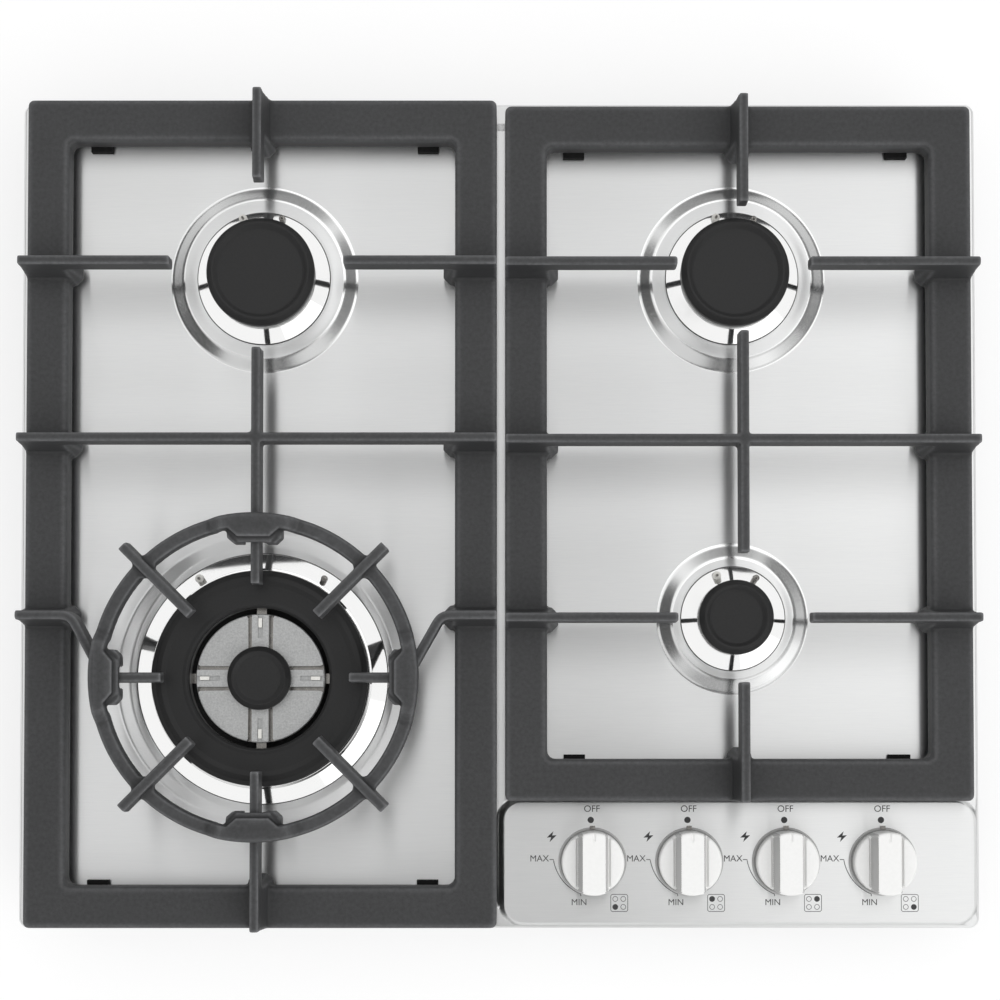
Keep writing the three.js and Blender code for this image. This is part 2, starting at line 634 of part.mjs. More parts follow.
// Ribs that leave the grate's left and right bars in one row, up to x tips.
function sideRibs({ x0, x1 }, y, leftTip, rightTip) {
  return [
    root([x0, y], [1, 0]), run(barSection, [x0 + PAST, y], [leftTip, y]),
    root([x1, y], [-1, 0]), run(barSection, [x1 - PAST, y], [rightTip, y]),
  ];
}

// A rib that leaves the back bar (or the front one) at x and ends at a y tip.
function endRib({ y0, y1 }, x, tip, back) {
  const [start, way] = back ? [y1, -1] : [y0, 1];
  return [root([x, start], [0, way]), run(barSection, [x, start + way * PAST], [x, tip])];
}

// A front finger of the left grate: in from the side, bent forward, then in to the triple burner.
function crankedRib(edge, way) {
  const route = [
    [edge + way * PAST, LEFT_ROWS.front], [edge + way * CRANK_START, LEFT_ROWS.front],
    [TRIPLE.x - way * CRANK_END, TRIPLE.y], [TRIPLE.x - way * TRIPLE_REACH, TRIPLE.y],
  ];
  const bars = [];
  for (let i = 0; i + 1 < route.length; i += 1) {
    bars.push(run(barSection, route[i], route[i + 1]));
    if (i > 0) {
      bars.push(turned([
        [0, RIBS_TOP - RIB_DEPTH], [RIB_BASE / 2, RIBS_TOP - RIB_DEPTH],
        [RIB_TOP / 2, RIBS_TOP], [0, RIBS_TOP],
      ], ROUND_SMALL, ...route[i]));
    }
  }
  return [root([edge, LEFT_ROWS.front], [way, 0]), ...bars];
}

function grateLeft() {
  const { x0, x1 } = LEFT_GRATE;
  const back = simple.back_left;
  const middleTip = back.y - LEFT_REACH - MIDDLE_REACH;
  return grate(LEFT_GRATE, [
    ...endRib(LEFT_GRATE, LEFT_RIB_X, back.y + LEFT_REACH, true),
    ...endRib(LEFT_GRATE, LEFT_RIB_X, TRIPLE.y - TRIPLE_REACH, false),
    ...sideRibs(LEFT_GRATE, LEFT_ROWS.back, back.x - LEFT_REACH, back.x + LEFT_REACH),
    ...sideRibs(LEFT_GRATE, LEFT_ROWS.middle, LEFT_RIB_X + PAST, LEFT_RIB_X - PAST),
    run(barSection, [LEFT_RIB_X, middleTip], [LEFT_RIB_X, TRIPLE.y + TRIPLE_REACH]),
    ...crankedRib(x0, 1),
    ...crankedRib(x1, -1),
  ]);
}

function grateRight() {
  const { back_right: back, front_right: front } = simple;
  const tips = [RIGHT_RIB_X - RIGHT_REACH, RIGHT_RIB_X + RIGHT_REACH];
  const middleTip = front.y + RIGHT_REACH + MIDDLE_REACH;
  return grate(RIGHT_GRATE, [
    ...endRib(RIGHT_GRATE, RIGHT_RIB_X, back.y + RIGHT_REACH + MIDDLE_REACH, true),
    ...endRib(RIGHT_GRATE, RIGHT_RIB_X, front.y - RIGHT_REACH, false),
    ...sideRibs(RIGHT_GRATE, RIGHT_ROWS.back, ...tips),
    ...sideRibs(RIGHT_GRATE, RIGHT_ROWS.middle, RIGHT_RIB_X + PAST, RIGHT_RIB_X - PAST),
    ...sideRibs(RIGHT_GRATE, RIGHT_ROWS.front, ...tips),
    run(barSection, [RIGHT_RIB_X, back.y - RIGHT_REACH], [RIGHT_RIB_X, middleTip]),
  ]);
}

// A rubber foot under a frame bar, at the bar's inner side. way points from the bar inwards.
function grateFoot(x, innerY, way) {
  const seat = FRAME_BOTTOM - GAP;
  const [near, far] = [innerY + way * FOOT_PEEP, innerY + way * (FOOT_PEEP - FOOT_DEPTH)];
  const middle = innerY - way * (FRAME_BAR / 2);
  const pad = box(x - FOOT_LENGTH / 2, x + FOOT_LENGTH / 2, Math.min(near, far), Math.max(near, far),
    FLOOR + GAP, seat);
  const plug = box(x - FOOT_PLUG / 2, x + FOOT_PLUG / 2, middle - FOOT_PLUG / 2, middle + FOOT_PLUG / 2,
    RIM_TOP + GAP, seat + FOOT_PLUG_HEIGHT);
  return pad.add(plug);
}

function addGrateFeet(side, { x0, x1, y0, y1 }) {
  const inner = { x0: x0 + FRAME_BAR, x1: x1 - FRAME_BAR, y0: y0 + FRAME_BAR, y1: y1 - FRAME_BAR };
  const feet = {
    back_left: [inner.x0 + FOOT_INSET, inner.y1, -1],
    back_right: [inner.x1 - FOOT_INSET, inner.y1, -1],
    front_left: [inner.x0 + FOOT_INSET, inner.y0, 1],
    front_right: [inner.x1 - FOOT_INSET, inner.y0, 1],
  };
  for (const [corner, place] of Object.entries(feet)) {
    add(`grate_${side}_foot_${corner}`, grateFoot(...place), rubber);
  }
}

// ---------------------------------------------------------------- wok ring
function wokRing() {
  const clear = RIBS_TOP + GAP; // the saddles rest on the grate's fingers
  const top = RIBS_TOP + RING_RISE;
  const band = turned([
    [RING_INNER, RIBS_TOP - RING_BELOW], [RING_OUTER, RIBS_TOP - RING_BELOW],
    [RING_OUTER, RIBS_TOP + RING_ABOVE], [RING_INNER, RIBS_TOP + RING_ABOVE],
  ], ROUND_RING);
  const sector = (inner, outer, degrees) => {
    const half = THREE.MathUtils.degToRad(degrees);
    const shape = new THREE.Shape();
    shape.absarc(0, 0, outer, -half, half, false);
    shape.absarc(0, 0, inner, half, -half, true);
    shape.closePath();
    return shape;
  };
  const arch = prism(sector(ARCH_INNER, ARCH_OUTER, SADDLE_ANGLE), RIBS_TOP - RING_BELOW - PAST, clear, 4);
  const saddle = prism(sector(SADDLE_INNER, RING_OUTER, SADDLE_ANGLE), clear, top, 6);
  const tabs = box(TAB_INNER, TAB_OUTER, -TAB_WIDTH / 2, TAB_WIDTH / 2, RIBS_TOP - TAB_DROP, top - TAB_STEP)
    .subtract(box(TAB_INNER - PAST, TAB_OUTER + PAST, -TAB_NOTCH / 2, TAB_NOTCH / 2, 0, clear));
  const finger = run([
    [-RING_FINGER_WIDTH / 2, top - RING_FINGER_DEPTH], [RING_FINGER_WIDTH / 2, top - RING_FINGER_DEPTH],
    [RIB_TOP / 2, top], [-RIB_TOP / 2, top],
  ], [RING_FINGER_IN, 0], [RING_FINGER_OUT, 0]);
  const quarters = [0, 90, 180, 270];
  const each = (solid, offset) => quarters.map((q) => placed(solid, aroundAxis(q + offset, 0, 0)));
  const whole = union([
    band.subtract(union(each(arch, 0))),
    ...each(saddle, 0), ...each(tabs, 0), ...each(finger, 45),
  ]);
  return placed(whole, aroundAxis(0, TRIPLE.x, TRIPLE.y));
}

// ---------------------------------------------------------------- burners
// The cup: injector holder below the deck, and the polished skirt that shows round the crown.
function burnerCup(burner, throat) {
  const { x, y, cap, skirt, neck } = burner;
  const bottom = BOSS_TOP - CUP_DEPTH;
  const seat = BOSS_TOP + GAP;
  const [lip, bore] = [cap + RIM_STEP, cap + RIM_STEP - RIM_WIDTH];
  const bowl = neck - NECK_WALL;
  const [floor, coneFoot] = [bottom + HOLDER_FLOOR, bottom + HOLDER_HEIGHT];
  const coneTop = coneFoot + HOLDER_CONE;
  const cup = turned([
    [0, bottom], [throat + HOLDER_WALL, bottom], [throat + HOLDER_WALL, coneFoot],
    [neck, coneTop], [neck, seat],
    [skirt, seat], [skirt, seat + SKIRT_EDGE], [lip, CUP_RIM], [bore, CUP_RIM],
    [bowl, CUP_RIM - BOWL_DEPTH], [bowl, coneTop + HOLDER_FLOOR], [throat, coneFoot + HOLDER_WALL],
    [throat, floor], [0, floor],
  ], sidesOf(burner), x, y);
  const rodHoles = [burner.spark, burner.sensor].map((rod) => (
    disc(ROD_HOLE, seat - PAST, CUP_RIM, ROUND_TINY, ...rod)));
  return cup.subtract(union(rodHoles));
}

function ports(radius, depth, z, count, x, y) {
  return Array.from({ length: count }, (_, i) => placed(
    box(radius - depth, radius + PAST, -PORT_WIDTH / 2, PORT_WIDTH / 2, z - PORT_DEPTH, z + PAST),
    aroundAxis((i + PORT_OFFSET) * (360 / count), x, y),
  ));
}

// The crown: a ring with flame ports, and the mixing tube in its middle.
function burnerCrown(burner) {
  const { x, y, cap, neck } = burner;
  const base = CUP_RIM + GAP;
  const [wall, flange] = [cap - CROWN_INSET, cap + CROWN_FLANGE];
  const flangeTop = base + CROWN_FLANGE_HEIGHT;
  const spigot = neck - NECK_WALL - SPIGOT_CLEARANCE;
  const outer = THROAT - SPIGOT_CLEARANCE;
  const inner = outer - MIXER_WALL;
  const crown = turned([
    [inner, base - MIXER_DEPTH], [outer, base - MIXER_DEPTH], [outer, base - SPIGOT_DEPTH - MIXER_RIM],
    [spigot, base - SPIGOT_DEPTH], [spigot, base], [flange, base], [flange, flangeTop],
    [wall, flangeTop], [wall, CROWN_TOP], [wall - CROWN_WALL, CROWN_TOP],
    [wall - CROWN_WALL, base + MIXER_RIM / 2], [outer, base + MIXER_RIM], [inner, base + MIXER_RIM],
  ], sidesOf(burner), x, y);
  return crown.subtract(union(ports(wall, CROWN_WALL + PAST, CROWN_TOP, PORTS, x, y)));
}

function capProfile(cap, seat) {
  const top = seat + CAP_HEIGHT;
  const { height, inset, drop, flat } = CAP_SHOULDER;
  return [
    [cap, seat], [cap, seat + height], [cap - inset, top - drop], [cap - flat, top],
    [cap - CAP_EDGE - CAP_DISH, top - CAP_RECESS],
  ];
}

// A round cap, with a ring below that locates it in its crown.
function roundCap({ x, y, cap }, seat, locator, sides) {
  const edge = capProfile(cap, seat);
  return turned([
    [0, seat - LOCATOR_HEIGHT], [locator, seat - LOCATOR_HEIGHT], [locator, seat],
    ...edge, [0, edge[edge.length - 1][1]],
  ], sides, x, y);
}

function electrode([x, y], tip, tipLength) {
  const under = BOSS_TOP - SHEET - GAP;
  const top = BOSS_TOP + ROD_ABOVE;
  return turned([
    [0, under - ROD_BELOW], [ROD_RADIUS, under - ROD_BELOW], [ROD_COLLAR, under - ROD_COLLAR_HEIGHT],
    [ROD_COLLAR, under], [ROD_RADIUS, under],
    [ROD_RADIUS, top], [tip, top], [tip, top + tipLength], [0, top + tipLength],
  ], ROUND_TINY, x, y);
}

function tripleCrown() {
  const { x, y, cap, neck } = triple;
  const base = CUP_RIM + GAP;
  const [wall, flange] = [cap - CROWN_INSET, cap + CROWN_FLANGE];
  const flangeTop = base + CROWN_FLANGE_HEIGHT;
  const spigot = neck - NECK_WALL - SPIGOT_CLEARANCE;
  const channelIn = TRIPLE_CAP_INNER + CROWN_INSET;
  const innerWall = channelIn + TRIPLE_INNER_WALL;
  const outerWall = wall - TRIPLE_WALL;
  const floor = base - TRIPLE_FLOOR;
  const floorTop = floor + TRIPLE_FLOOR_THICK;
  const bodyTop = CROWN_TOP - TRIPLE_STEP;
  const channel = turned([
    [channelIn, floor], [spigot, floor], [spigot, base], [flange, base], [flange, flangeTop],
    [wall, flangeTop], [wall, bodyTop], [outerWall, bodyTop], [outerWall, floorTop],
    [innerWall, floorTop], [innerWall, bodyTop], [channelIn, bodyTop],
  ], ROUND_LARGE);
  const seatRadius = TRIPLE_INNER_CAP - SEAT_INSET;
  const body = turned([
    [0, floor - TRIPLE_MIXER], [THROAT, floor - TRIPLE_MIXER], [THROAT, floor],
    [TRIPLE_BODY - BODY_CHAMFER, floor], [TRIPLE_BODY, floorTop], [TRIPLE_BODY, bodyTop],
    [seatRadius, bodyTop], [seatRadius, CROWN_TOP], [seatRadius - SEAT_WALL, CROWN_TOP],
    [seatRadius - SEAT_WALL, bodyTop], [0, bodyTop],
  ], ROUND_LARGE);
  const bridge = box(THROAT, TRIPLE_CAP_INNER + BRIDGE_LAP, -TRIPLE_ARM / 2, TRIPLE_ARM / 2,
    floor + BRIDGE.low, floor + BRIDGE.high);
  const sectorHalf = Math.PI / 4;
  const recess = new THREE.Shape();
  const [near, far] = [TRIPLE_INNER_CAP + PANEL_EDGE.inner, TRIPLE_BODY - PANEL_EDGE.outer];
  const turn = (radius) => Math.asin(TRIPLE_ARM / 2 / radius);
  recess.absarc(0, 0, far, turn(far) - sectorHalf, sectorHalf - turn(far), false);
  recess.absarc(0, 0, near, sectorHalf - turn(near), turn(near) - sectorHalf, true);
  recess.closePath();
  const panel = prism(recess, bodyTop - PANEL_RECESS, bodyTop + PAST, 4);
  const slot = box(TRIPLE_BODY - ARM_SLOT.length, TRIPLE_BODY + PAST,
    -ARM_SLOT.width / 2, ARM_SLOT.width / 2, bodyTop - ARM_SLOT.depth, bodyTop + PAST);
  const quarters = [0, 90, 180, 270];
  const each = (solid, offset) => quarters.map((q) => placed(solid, aroundAxis(q + offset, 0, 0)));
  const cuts = [
    ...each(panel, 45), ...each(slot, 0),
    ...ports(wall, TRIPLE_WALL + PAST, bodyTop, TRIPLE_PORTS, 0, 0),
  ];
  const whole = union([channel, body, ...each(bridge, 0)]).subtract(union(cuts));
  return placed(whole, aroundAxis(0, x, y));
}

function tripleOuterCap() {
  const seat = CROWN_TOP - TRIPLE_STEP + GAP;
  const { height, shoulder, inset, drop, flat, bevel } = OUTER_CAP;
  const top = seat + height;
  const { x, y, cap } = triple;
  return turned([
    [TRIPLE_CAP_INNER, seat], [cap, seat], [cap, seat + shoulder], [cap - inset, top - drop],
    [cap - flat, top], [TRIPLE_CAP_INNER + bevel, top], [TRIPLE_CAP_INNER, top - bevel],
  ], ROUND_LARGE, x, y);
}

// ---------------------------------------------------------------- knobs and valves
function knob(x) {
  const shoulder = KNOB_BOTTOM + KNOB_DISC;
  const top = KNOB_BOTTOM + KNOB_HEIGHT;
  const body = turned([
    [0, KNOB_BOTTOM], [KNOB_RADIUS, KNOB_BOTTOM], [KNOB_RADIUS, top - KNOB_CHAMFER],
    [KNOB_RADIUS - KNOB_CHAMFER, top], [0, top],
  ], ROUND_MEDIUM, x, KNOB_Y);
  const side = (way) => {
    const [near, far] = [way * KNOB_BAR / 2, way * (KNOB_RADIUS + PAST)];
    const section = [
      [near, shoulder + KNOB_SHOULDER], [far, shoulder], [far, top + PAST], [near, top + PAST],
    ];
    return run(section, [x, KNOB_Y - KNOB_RADIUS - PAST], [x, KNOB_Y + KNOB_RADIUS + PAST]);
  };
  const bore = disc(SPINDLE_RADIUS + GAP, KNOB_BOTTOM - PAST, KNOB_BOTTOM + SPINDLE_SEAT,
    ROUND_SMALL, x, KNOB_Y);
  const notch = box(x - KNOB_NOTCH.width / 2, x + KNOB_NOTCH.width / 2,
    KNOB_Y + KNOB_RADIUS - KNOB_NOTCH.length, KNOB_Y + KNOB_RADIUS + PAST,
    top - KNOB_NOTCH.depth, top + PAST);
  return body.subtract(union([side(1), side(-1), bore, notch]));
}

function valveBody(x) {
  const half = VALVE_SIZE / 2;
  const body = box(x - half, x + half, KNOB_Y - half, KNOB_Y + half, VALVE_BOTTOM, VALVE_TOP);
  const bore = disc(PLUG_RADIUS + PLUG_CLEARANCE, VALVE_BOTTOM + VALVE_FLOOR, VALVE_TOP + PAST,
    ROUND_SMALL, x, KNOB_Y);
  return body.subtract(bore);
}

const PLUG_TOP = VALVE_TOP + PLUG_PROUD;
const SPINDLE_BOTTOM = VALVE_BOTTOM + VALVE_FLOOR + SOCKET_FLOOR + GAP * 2 + PUSH;

function valvePlug(x) {
  const plug = disc(PLUG_RADIUS, VALVE_BOTTOM + VALVE_FLOOR + GAP, PLUG_TOP, ROUND_SMALL, x, KNOB_Y);
  const socket = disc(SPINDLE_RADIUS + GAP, SPINDLE_BOTTOM - PUSH - GAP, PLUG_TOP + PAST,
    ROUND_SMALL, x, KNOB_Y);
  return plug.subtract(socket);
}

function valveSpindle(x) {
  return disc(SPINDLE_RADIUS, SPINDLE_BOTTOM, KNOB_BOTTOM + SPINDLE_SEAT - GAP, ROUND_SMALL, x, KNOB_Y);
}

// ---------------------------------------------------------------- gas line and ignition
const MANIFOLD_END_Y = BOX_HALF_D + INLET_PROUD - INLET_LENGTH - GAP;

function manifoldPipe() {
  const first = KNOB_X[0] - MANIFOLD_OVERHANG;
  const corner = [MANIFOLD_SIDE_X - MANIFOLD_BEND, KNOB_Y];
  const route = [first, KNOB_X[1], corner[0]].map((x) => [x, KNOB_Y, MANIFOLD_Z]);
  for (let i = 1; i <= MANIFOLD_BEND_STEPS; i += 1) {
    const angle = (i / MANIFOLD_BEND_STEPS) * (Math.PI / 2);
    route.push([
      corner[0] + Math.sin(angle) * MANIFOLD_BEND,
      corner[1] + (1 - Math.cos(angle)) * MANIFOLD_BEND,
      MANIFOLD_Z,
    ]);
  }
  route.push([MANIFOLD_SIDE_X, 0, MANIFOLD_Z], [MANIFOLD_SIDE_X, MANIFOLD_END_Y, MANIFOLD_Z]);
  return tube(route, MANIFOLD_RADIUS, MANIFOLD_SIDES, MANIFOLD_STEPS);
}

function inletFitting() {
  const start = INLET.y - INLET_LENGTH;
  const spigot = round(INLET_RADIUS, INLET.x, start, INLET.y, ROUND_SMALL);
  const nut = round(INLET_NUT / 2 / Math.cos(Math.PI / 6), INLET.x, start, start + INLET_NUT_LENGTH, 6);
  const keep = box(INLET.x - INLET_NUT, INLET.x + INLET_NUT, start - PAST, INLET.y + PAST,
    BOX_WALL + GAP, MANIFOLD_Z + INLET_NUT);
  const bore = round(INLET_BORE, INLET.x, INLET.y - INLET_BORE_DEPTH, INLET.y + PAST, ROUND_SMALL);
  return spigot.add(nut.intersect(keep)).subtract(bore);
}

// Supply pipes, from a valve's outlet to the burner's injector holder.
const holderFace = (throat) => throat + HOLDER_WALL + GAP;

function supplyPipe(route) {
  return tube(route, PIPE_RADIUS, PIPE_SIDES, PIPE_STEPS);
}

function supplyRoutes() {
  const start = KNOB_Y + VALVE_SIZE / 2 + GAP;
  const low = PIPE_Z - PIPE_DROP;
  const { back_left: bl, back_right: br, front_right: fr } = simple;
  const [reach, wide] = [holderFace(THROAT), holderFace(TRIPLE_THROAT)];
  // Out of a valve, straight back and then round to the left.
  const out = (i, straight) => [
    [KNOB_X[i], start, PIPE_Z], [KNOB_X[i], start + straight, PIPE_Z],
    [KNOB_X[i] - PIPE_SWEEP, start + straight + PIPE_SWEEP, PIPE_Z],
  ];
  const passage = simple.front_right.x - fr.skirt - PIPE_RUN_IN; // left of the front-right burner
  const lane = (LEFT_GRATE.x1 + RIGHT_GRATE.x0) / 2 - PIPE_RUN_IN; // below the gap between the grates
  return {
    front_left: [
      ...out(0, PIPE_STRAIGHT / 2), [TRIPLE.x + triple.skirt, start + PIPE_RUN_IN, PIPE_Z],
      [TRIPLE.x + PIPE_RUN_IN, start + PIPE_RUN_IN, low],
      [TRIPLE.x, TRIPLE.y - wide - PIPE_RUN_IN, low], [TRIPLE.x, TRIPLE.y - wide, low],
    ],
    back_left: [
      ...out(1, 2 * PIPE_STRAIGHT), [lane + 2 * PIPE_RUN_IN, start + 2 * PIPE_STRAIGHT + PIPE_SWEEP, PIPE_Z],
      [lane, start + 3 * PIPE_RUN_IN + PIPE_SWEEP, low], [lane, bl.y - 2 * PIPE_RUN_IN, low],
      [lane - PIPE_RUN_IN, bl.y - PIPE_SWEEP / 2, low],
      [bl.x + reach + PIPE_RUN_IN, bl.y, low], [bl.x + reach, bl.y, low],
    ],
    back_right: [
      ...out(2, PIPE_STRAIGHT), [passage + PIPE_SWEEP, fr.y - 2 * PIPE_RUN_IN - PIPE_SWEEP, low],
      [passage, fr.y - PIPE_RUN_IN, low], [passage, br.y - 4 * PIPE_RUN_IN, low],
      [br.x - PIPE_SWEEP, br.y - reach - 2 * PIPE_RUN_IN, low],
      [br.x, br.y - reach - PIPE_RUN_IN, low], [br.x, br.y - reach, low],
    ],
    front_right: [
      [KNOB_X[3], start, PIPE_Z], [KNOB_X[3], start + 2 * PIPE_RUN_IN, PIPE_Z],
      [KNOB_X[3], fr.y - 2 * PIPE_RUN_IN, low], [KNOB_X[3] - PIPE_RUN_IN, fr.y - PIPE_SWEEP / 2, low],
      [fr.x + reach + PIPE_RUN_IN, fr.y, low], [fr.x + reach, fr.y, low],
    ],
  };
}

function igniterModule() {
  const { fromLeft, fromFront, width, depth, height, corner } = IGNITER;
  const [x, y, z0] = [fromLeft - HALF_W, fromFront - HALF_D, BOX_WALL + GAP];
  const body = prism(
    roundedRect(x - width / 2, x + width / 2, y - depth / 2, y + depth / 2, corner), z0, z0 + height, 2,
  );
  const terminals = Array.from({ length: IGNITER_TERMINALS }, (_, i) => {
    const centre = x + ((i + 0.5) / IGNITER_TERMINALS - 0.5) * width;
    return box(centre - TERMINAL.width / 2, centre + TERMINAL.width / 2, y + depth / 2 - PAST,
      y + depth / 2 + TERMINAL.length, z0 + TERMINAL.lift, z0 + TERMINAL.lift + TERMINAL.width);
  });
  return union([body, ...terminals]);
}

function clampBracket(way) {
  const wall = BOX_HALF_W + GAP;
  const side = (a, b, y0, y1, z0, z1) => (
    box(Math.min(way * a, way * b), Math.max(way * a, way * b), y0, y1, z0, z1));
  const half = CLAMP_WIDTH / 2;
  const plate = side(wall, wall + CLAMP_THICK, -half, half, CLAMP_FOOT_LIFT, CLAMP_TOP);
  const foot = side(wall, wall + CLAMP_REACH, -half, half, CLAMP_FOOT_LIFT, CLAMP_FOOT_LIFT + CLAMP_THICK);
  return plate.add(foot);
}

// ---------------------------------------------------------------- the pieces, from the bottom up
add('burner_box', burnerBox(), galvanised);
add('manifold_pipe', manifoldPipe(), galvanised);
add('gas_inlet', inletFitting(), brass);
add('igniter_module', igniterModule(), white);
for (const [name, route] of Object.entries(supplyRoutes())) {
  add(`supply_pipe_${name}`, supplyPipe(route), copper);
}
add('clamp_left', clampBracket(-1), galvanised);
add('clamp_right', clampBracket(1), galvanised);
add('rim_gasket', rimGasket(), foam);
add('deck_plate', deckPlate(), steel);

KNOB_X.forEach((x, i) => {
  add(`valve_body_${i + 1}`, valveBody(x), brass);
  add(`valve_plug_${i + 1}`, valvePlug(x), brass);
  add(`valve_spindle_${i + 1}`, valveSpindle(x), polished);
  add(`knob_${i + 1}`, knob(x), white);
});

for (const [name, burner] of Object.entries(simple)) {
  add(`${name}_cup`, burnerCup(burner, THROAT), polished);
  add(`${name}_crown`, burnerCrown(burner), castAluminium);
  add(`${name}_cap`, roundCap(burner, CROWN_TOP + GAP,
    burner.cap - CROWN_INSET - CROWN_WALL - LOCATOR_CLEARANCE, ROUND_MEDIUM), enamel);
  add(`${name}_electrode`, electrode(burner.spark, SPARK_PIN, SPARK_PIN_LENGTH), ceramic);
  add(`${name}_flame_sensor`, electrode(burner.sensor, SENSOR_TIP, SPARK_PIN_LENGTH), brass);
}
add('triple_cup', burnerCup(triple, TRIPLE_THROAT), polished);
add('triple_crown', tripleCrown(), castAluminium);
add('triple_outer_cap', tripleOuterCap(), enamel);
add('triple_inner_cap', roundCap({ ...triple, cap: TRIPLE_INNER_CAP }, CROWN_TOP + GAP,
  TRIPLE_INNER_CAP - SEAT_INSET - SEAT_WALL - LOCATOR_CLEARANCE, ROUND_MEDIUM), enamel);
add('triple_electrode', electrode(triple.spark, SPARK_PIN, SPARK_PIN_LENGTH), ceramic);
add('triple_flame_sensor', electrode(triple.sensor, SENSOR_TIP, SPARK_PIN_LENGTH), brass);

add('grate_left', grateLeft(), castIron);
add('grate_right', grateRight(), castIron);
addGrateFeet('left', LEFT_GRATE);
addGrateFeet('right', RIGHT_GRATE);
add('wok_ring', wokRing(), castIron);

export default cooktop;
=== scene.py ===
"""The looks of a built-in gas cooktop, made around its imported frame.

Sizes below are millimetres in the frame's own axes: +X right, +Y back, +Z up, z 0 under the
burner box. Meshes are scaled to metres when they are made. A profile's points are
(radius, height) or (radius, height, rounding of that corner).
"""
from math import cos, dist, hypot, pi, radians, sin, sqrt, tan

import bmesh
import bpy
from mathutils import Matrix, Vector, geometry


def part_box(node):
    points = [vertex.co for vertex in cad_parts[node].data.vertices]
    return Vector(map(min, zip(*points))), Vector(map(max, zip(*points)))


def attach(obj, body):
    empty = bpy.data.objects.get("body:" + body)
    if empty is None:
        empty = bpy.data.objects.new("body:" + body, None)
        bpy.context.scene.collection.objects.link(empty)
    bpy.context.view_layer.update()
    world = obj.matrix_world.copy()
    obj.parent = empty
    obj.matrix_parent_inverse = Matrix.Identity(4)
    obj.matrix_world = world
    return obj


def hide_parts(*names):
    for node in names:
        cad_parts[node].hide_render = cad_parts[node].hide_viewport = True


MM = 0.001
QUARTERS = (0, 90, 180, 270)
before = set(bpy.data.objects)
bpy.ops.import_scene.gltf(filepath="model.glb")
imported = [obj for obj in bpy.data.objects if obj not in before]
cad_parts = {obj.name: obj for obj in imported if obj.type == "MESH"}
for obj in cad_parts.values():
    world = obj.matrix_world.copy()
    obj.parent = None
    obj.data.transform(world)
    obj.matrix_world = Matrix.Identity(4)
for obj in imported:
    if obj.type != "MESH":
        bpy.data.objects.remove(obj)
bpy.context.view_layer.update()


def node_box(name):
    """Lowest and highest corner of a CAD node, in millimetres."""
    lo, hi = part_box(name)
    return lo / MM, hi / MM


def axis_of(name):
    """Plan centre of a CAD node."""
    lo, hi = node_box(name)
    return (lo.x + hi.x) / 2, (lo.y + hi.y) / 2


# ---------------- heights and burners
DECK_LO, DECK_HI = node_box("deck_plate")
RIM_TOP = 52.0
FLOOR = 49.5
BOSS_TOP = 53.0
PANEL_TOP = DECK_HI.z
EDGE_ROUND = 1.6
FRAME_TOP = 69.0
RIBS_TOP = 93.0
CUP_RIM = 59.6
CROWN_BASE = CUP_RIM + 0.3
CROWN_TOP = 67.5

# name: cap radius, skirt radius, inner radius and width of the boss's slope
BURNERS = {
    "back_left": (33.0, 40.4, 49.1, 9.0),
    "back_right": (33.0, 40.4, 49.1, 9.0),
    "front_right": (22.7, 31.5, 37.0, 9.8),
    "triple": (65.7, 76.5, 80.4, 10.6),
}
BURNER_AXES = {name: axis_of(f"{name}_cup") for name in BURNERS}
TRIPLE_AXIS = TRIPLE_X, TRIPLE_Y = BURNER_AXES["triple"]


# ---------------- objects and meshes
def linked(name, data):
    """A new object in the scene."""
    obj = bpy.data.objects.new(name, data)
    bpy.context.scene.collection.objects.link(obj)
    return obj


def plain_mesh(name, verts, faces):
    """A mesh from points in millimetres."""
    mesh = bpy.data.meshes.new(name)
    mesh.from_pydata([Vector(v) * MM for v in verts], [], faces)
    return mesh


def solid_mesh(name, verts, faces, merge=False):
    """The same with its faces turned outward, and perhaps its doubled points merged."""
    mesh = plain_mesh(name, verts, faces)
    raw = bmesh.new()
    raw.from_mesh(mesh)
    if merge:
        bmesh.ops.remove_doubles(raw, verts=raw.verts, dist=1e-7)
    bmesh.ops.recalc_face_normals(raw, faces=raw.faces)
    raw.to_mesh(mesh)
    raw.free()
    return mesh


def new_object(name, verts, faces, material, body, replaced=(), slot=None, sharp=35):
    """A piece from points in millimetres, riding on a body."""
    return finish_mesh(plain_mesh(name, verts, faces), name, material, body, replaced, sharp)


def finish_mesh(mesh, name, material, body, replaced=(), sharp=35):
    """A mesh as a piece of the scene, shaded smooth below the sharp angle."""
    mesh.validate()
    mesh.shade_smooth()
    if sharp:
        mesh.set_sharp_from_angle(angle=radians(sharp))
    mesh.materials.clear()
    mesh.materials.append(material)
    obj = linked(name, mesh)
    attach(obj, body)
    if replaced:
        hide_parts(*replaced)
    return obj


def paint(obj, material, chosen):
    """A second material on the faces whose centre, in millimetres, is chosen."""
    obj.data.materials.append(material)
    slot = len(obj.data.materials) - 1
    for face in obj.data.polygons:
        if chosen(face.center / MM):
            face.material_index = slot


def baked(obj, *helpers):
    """The object's mesh with its modifiers applied. The object and its helpers are deleted."""
    graph = bpy.context.evaluated_depsgraph_get()
    made = bpy.data.meshes.new_from_object(obj.evaluated_get(graph))
    for used in (obj, *helpers):
        mesh = used.data
        bpy.data.objects.remove(used)
        bpy.data.meshes.remove(mesh)
    return made


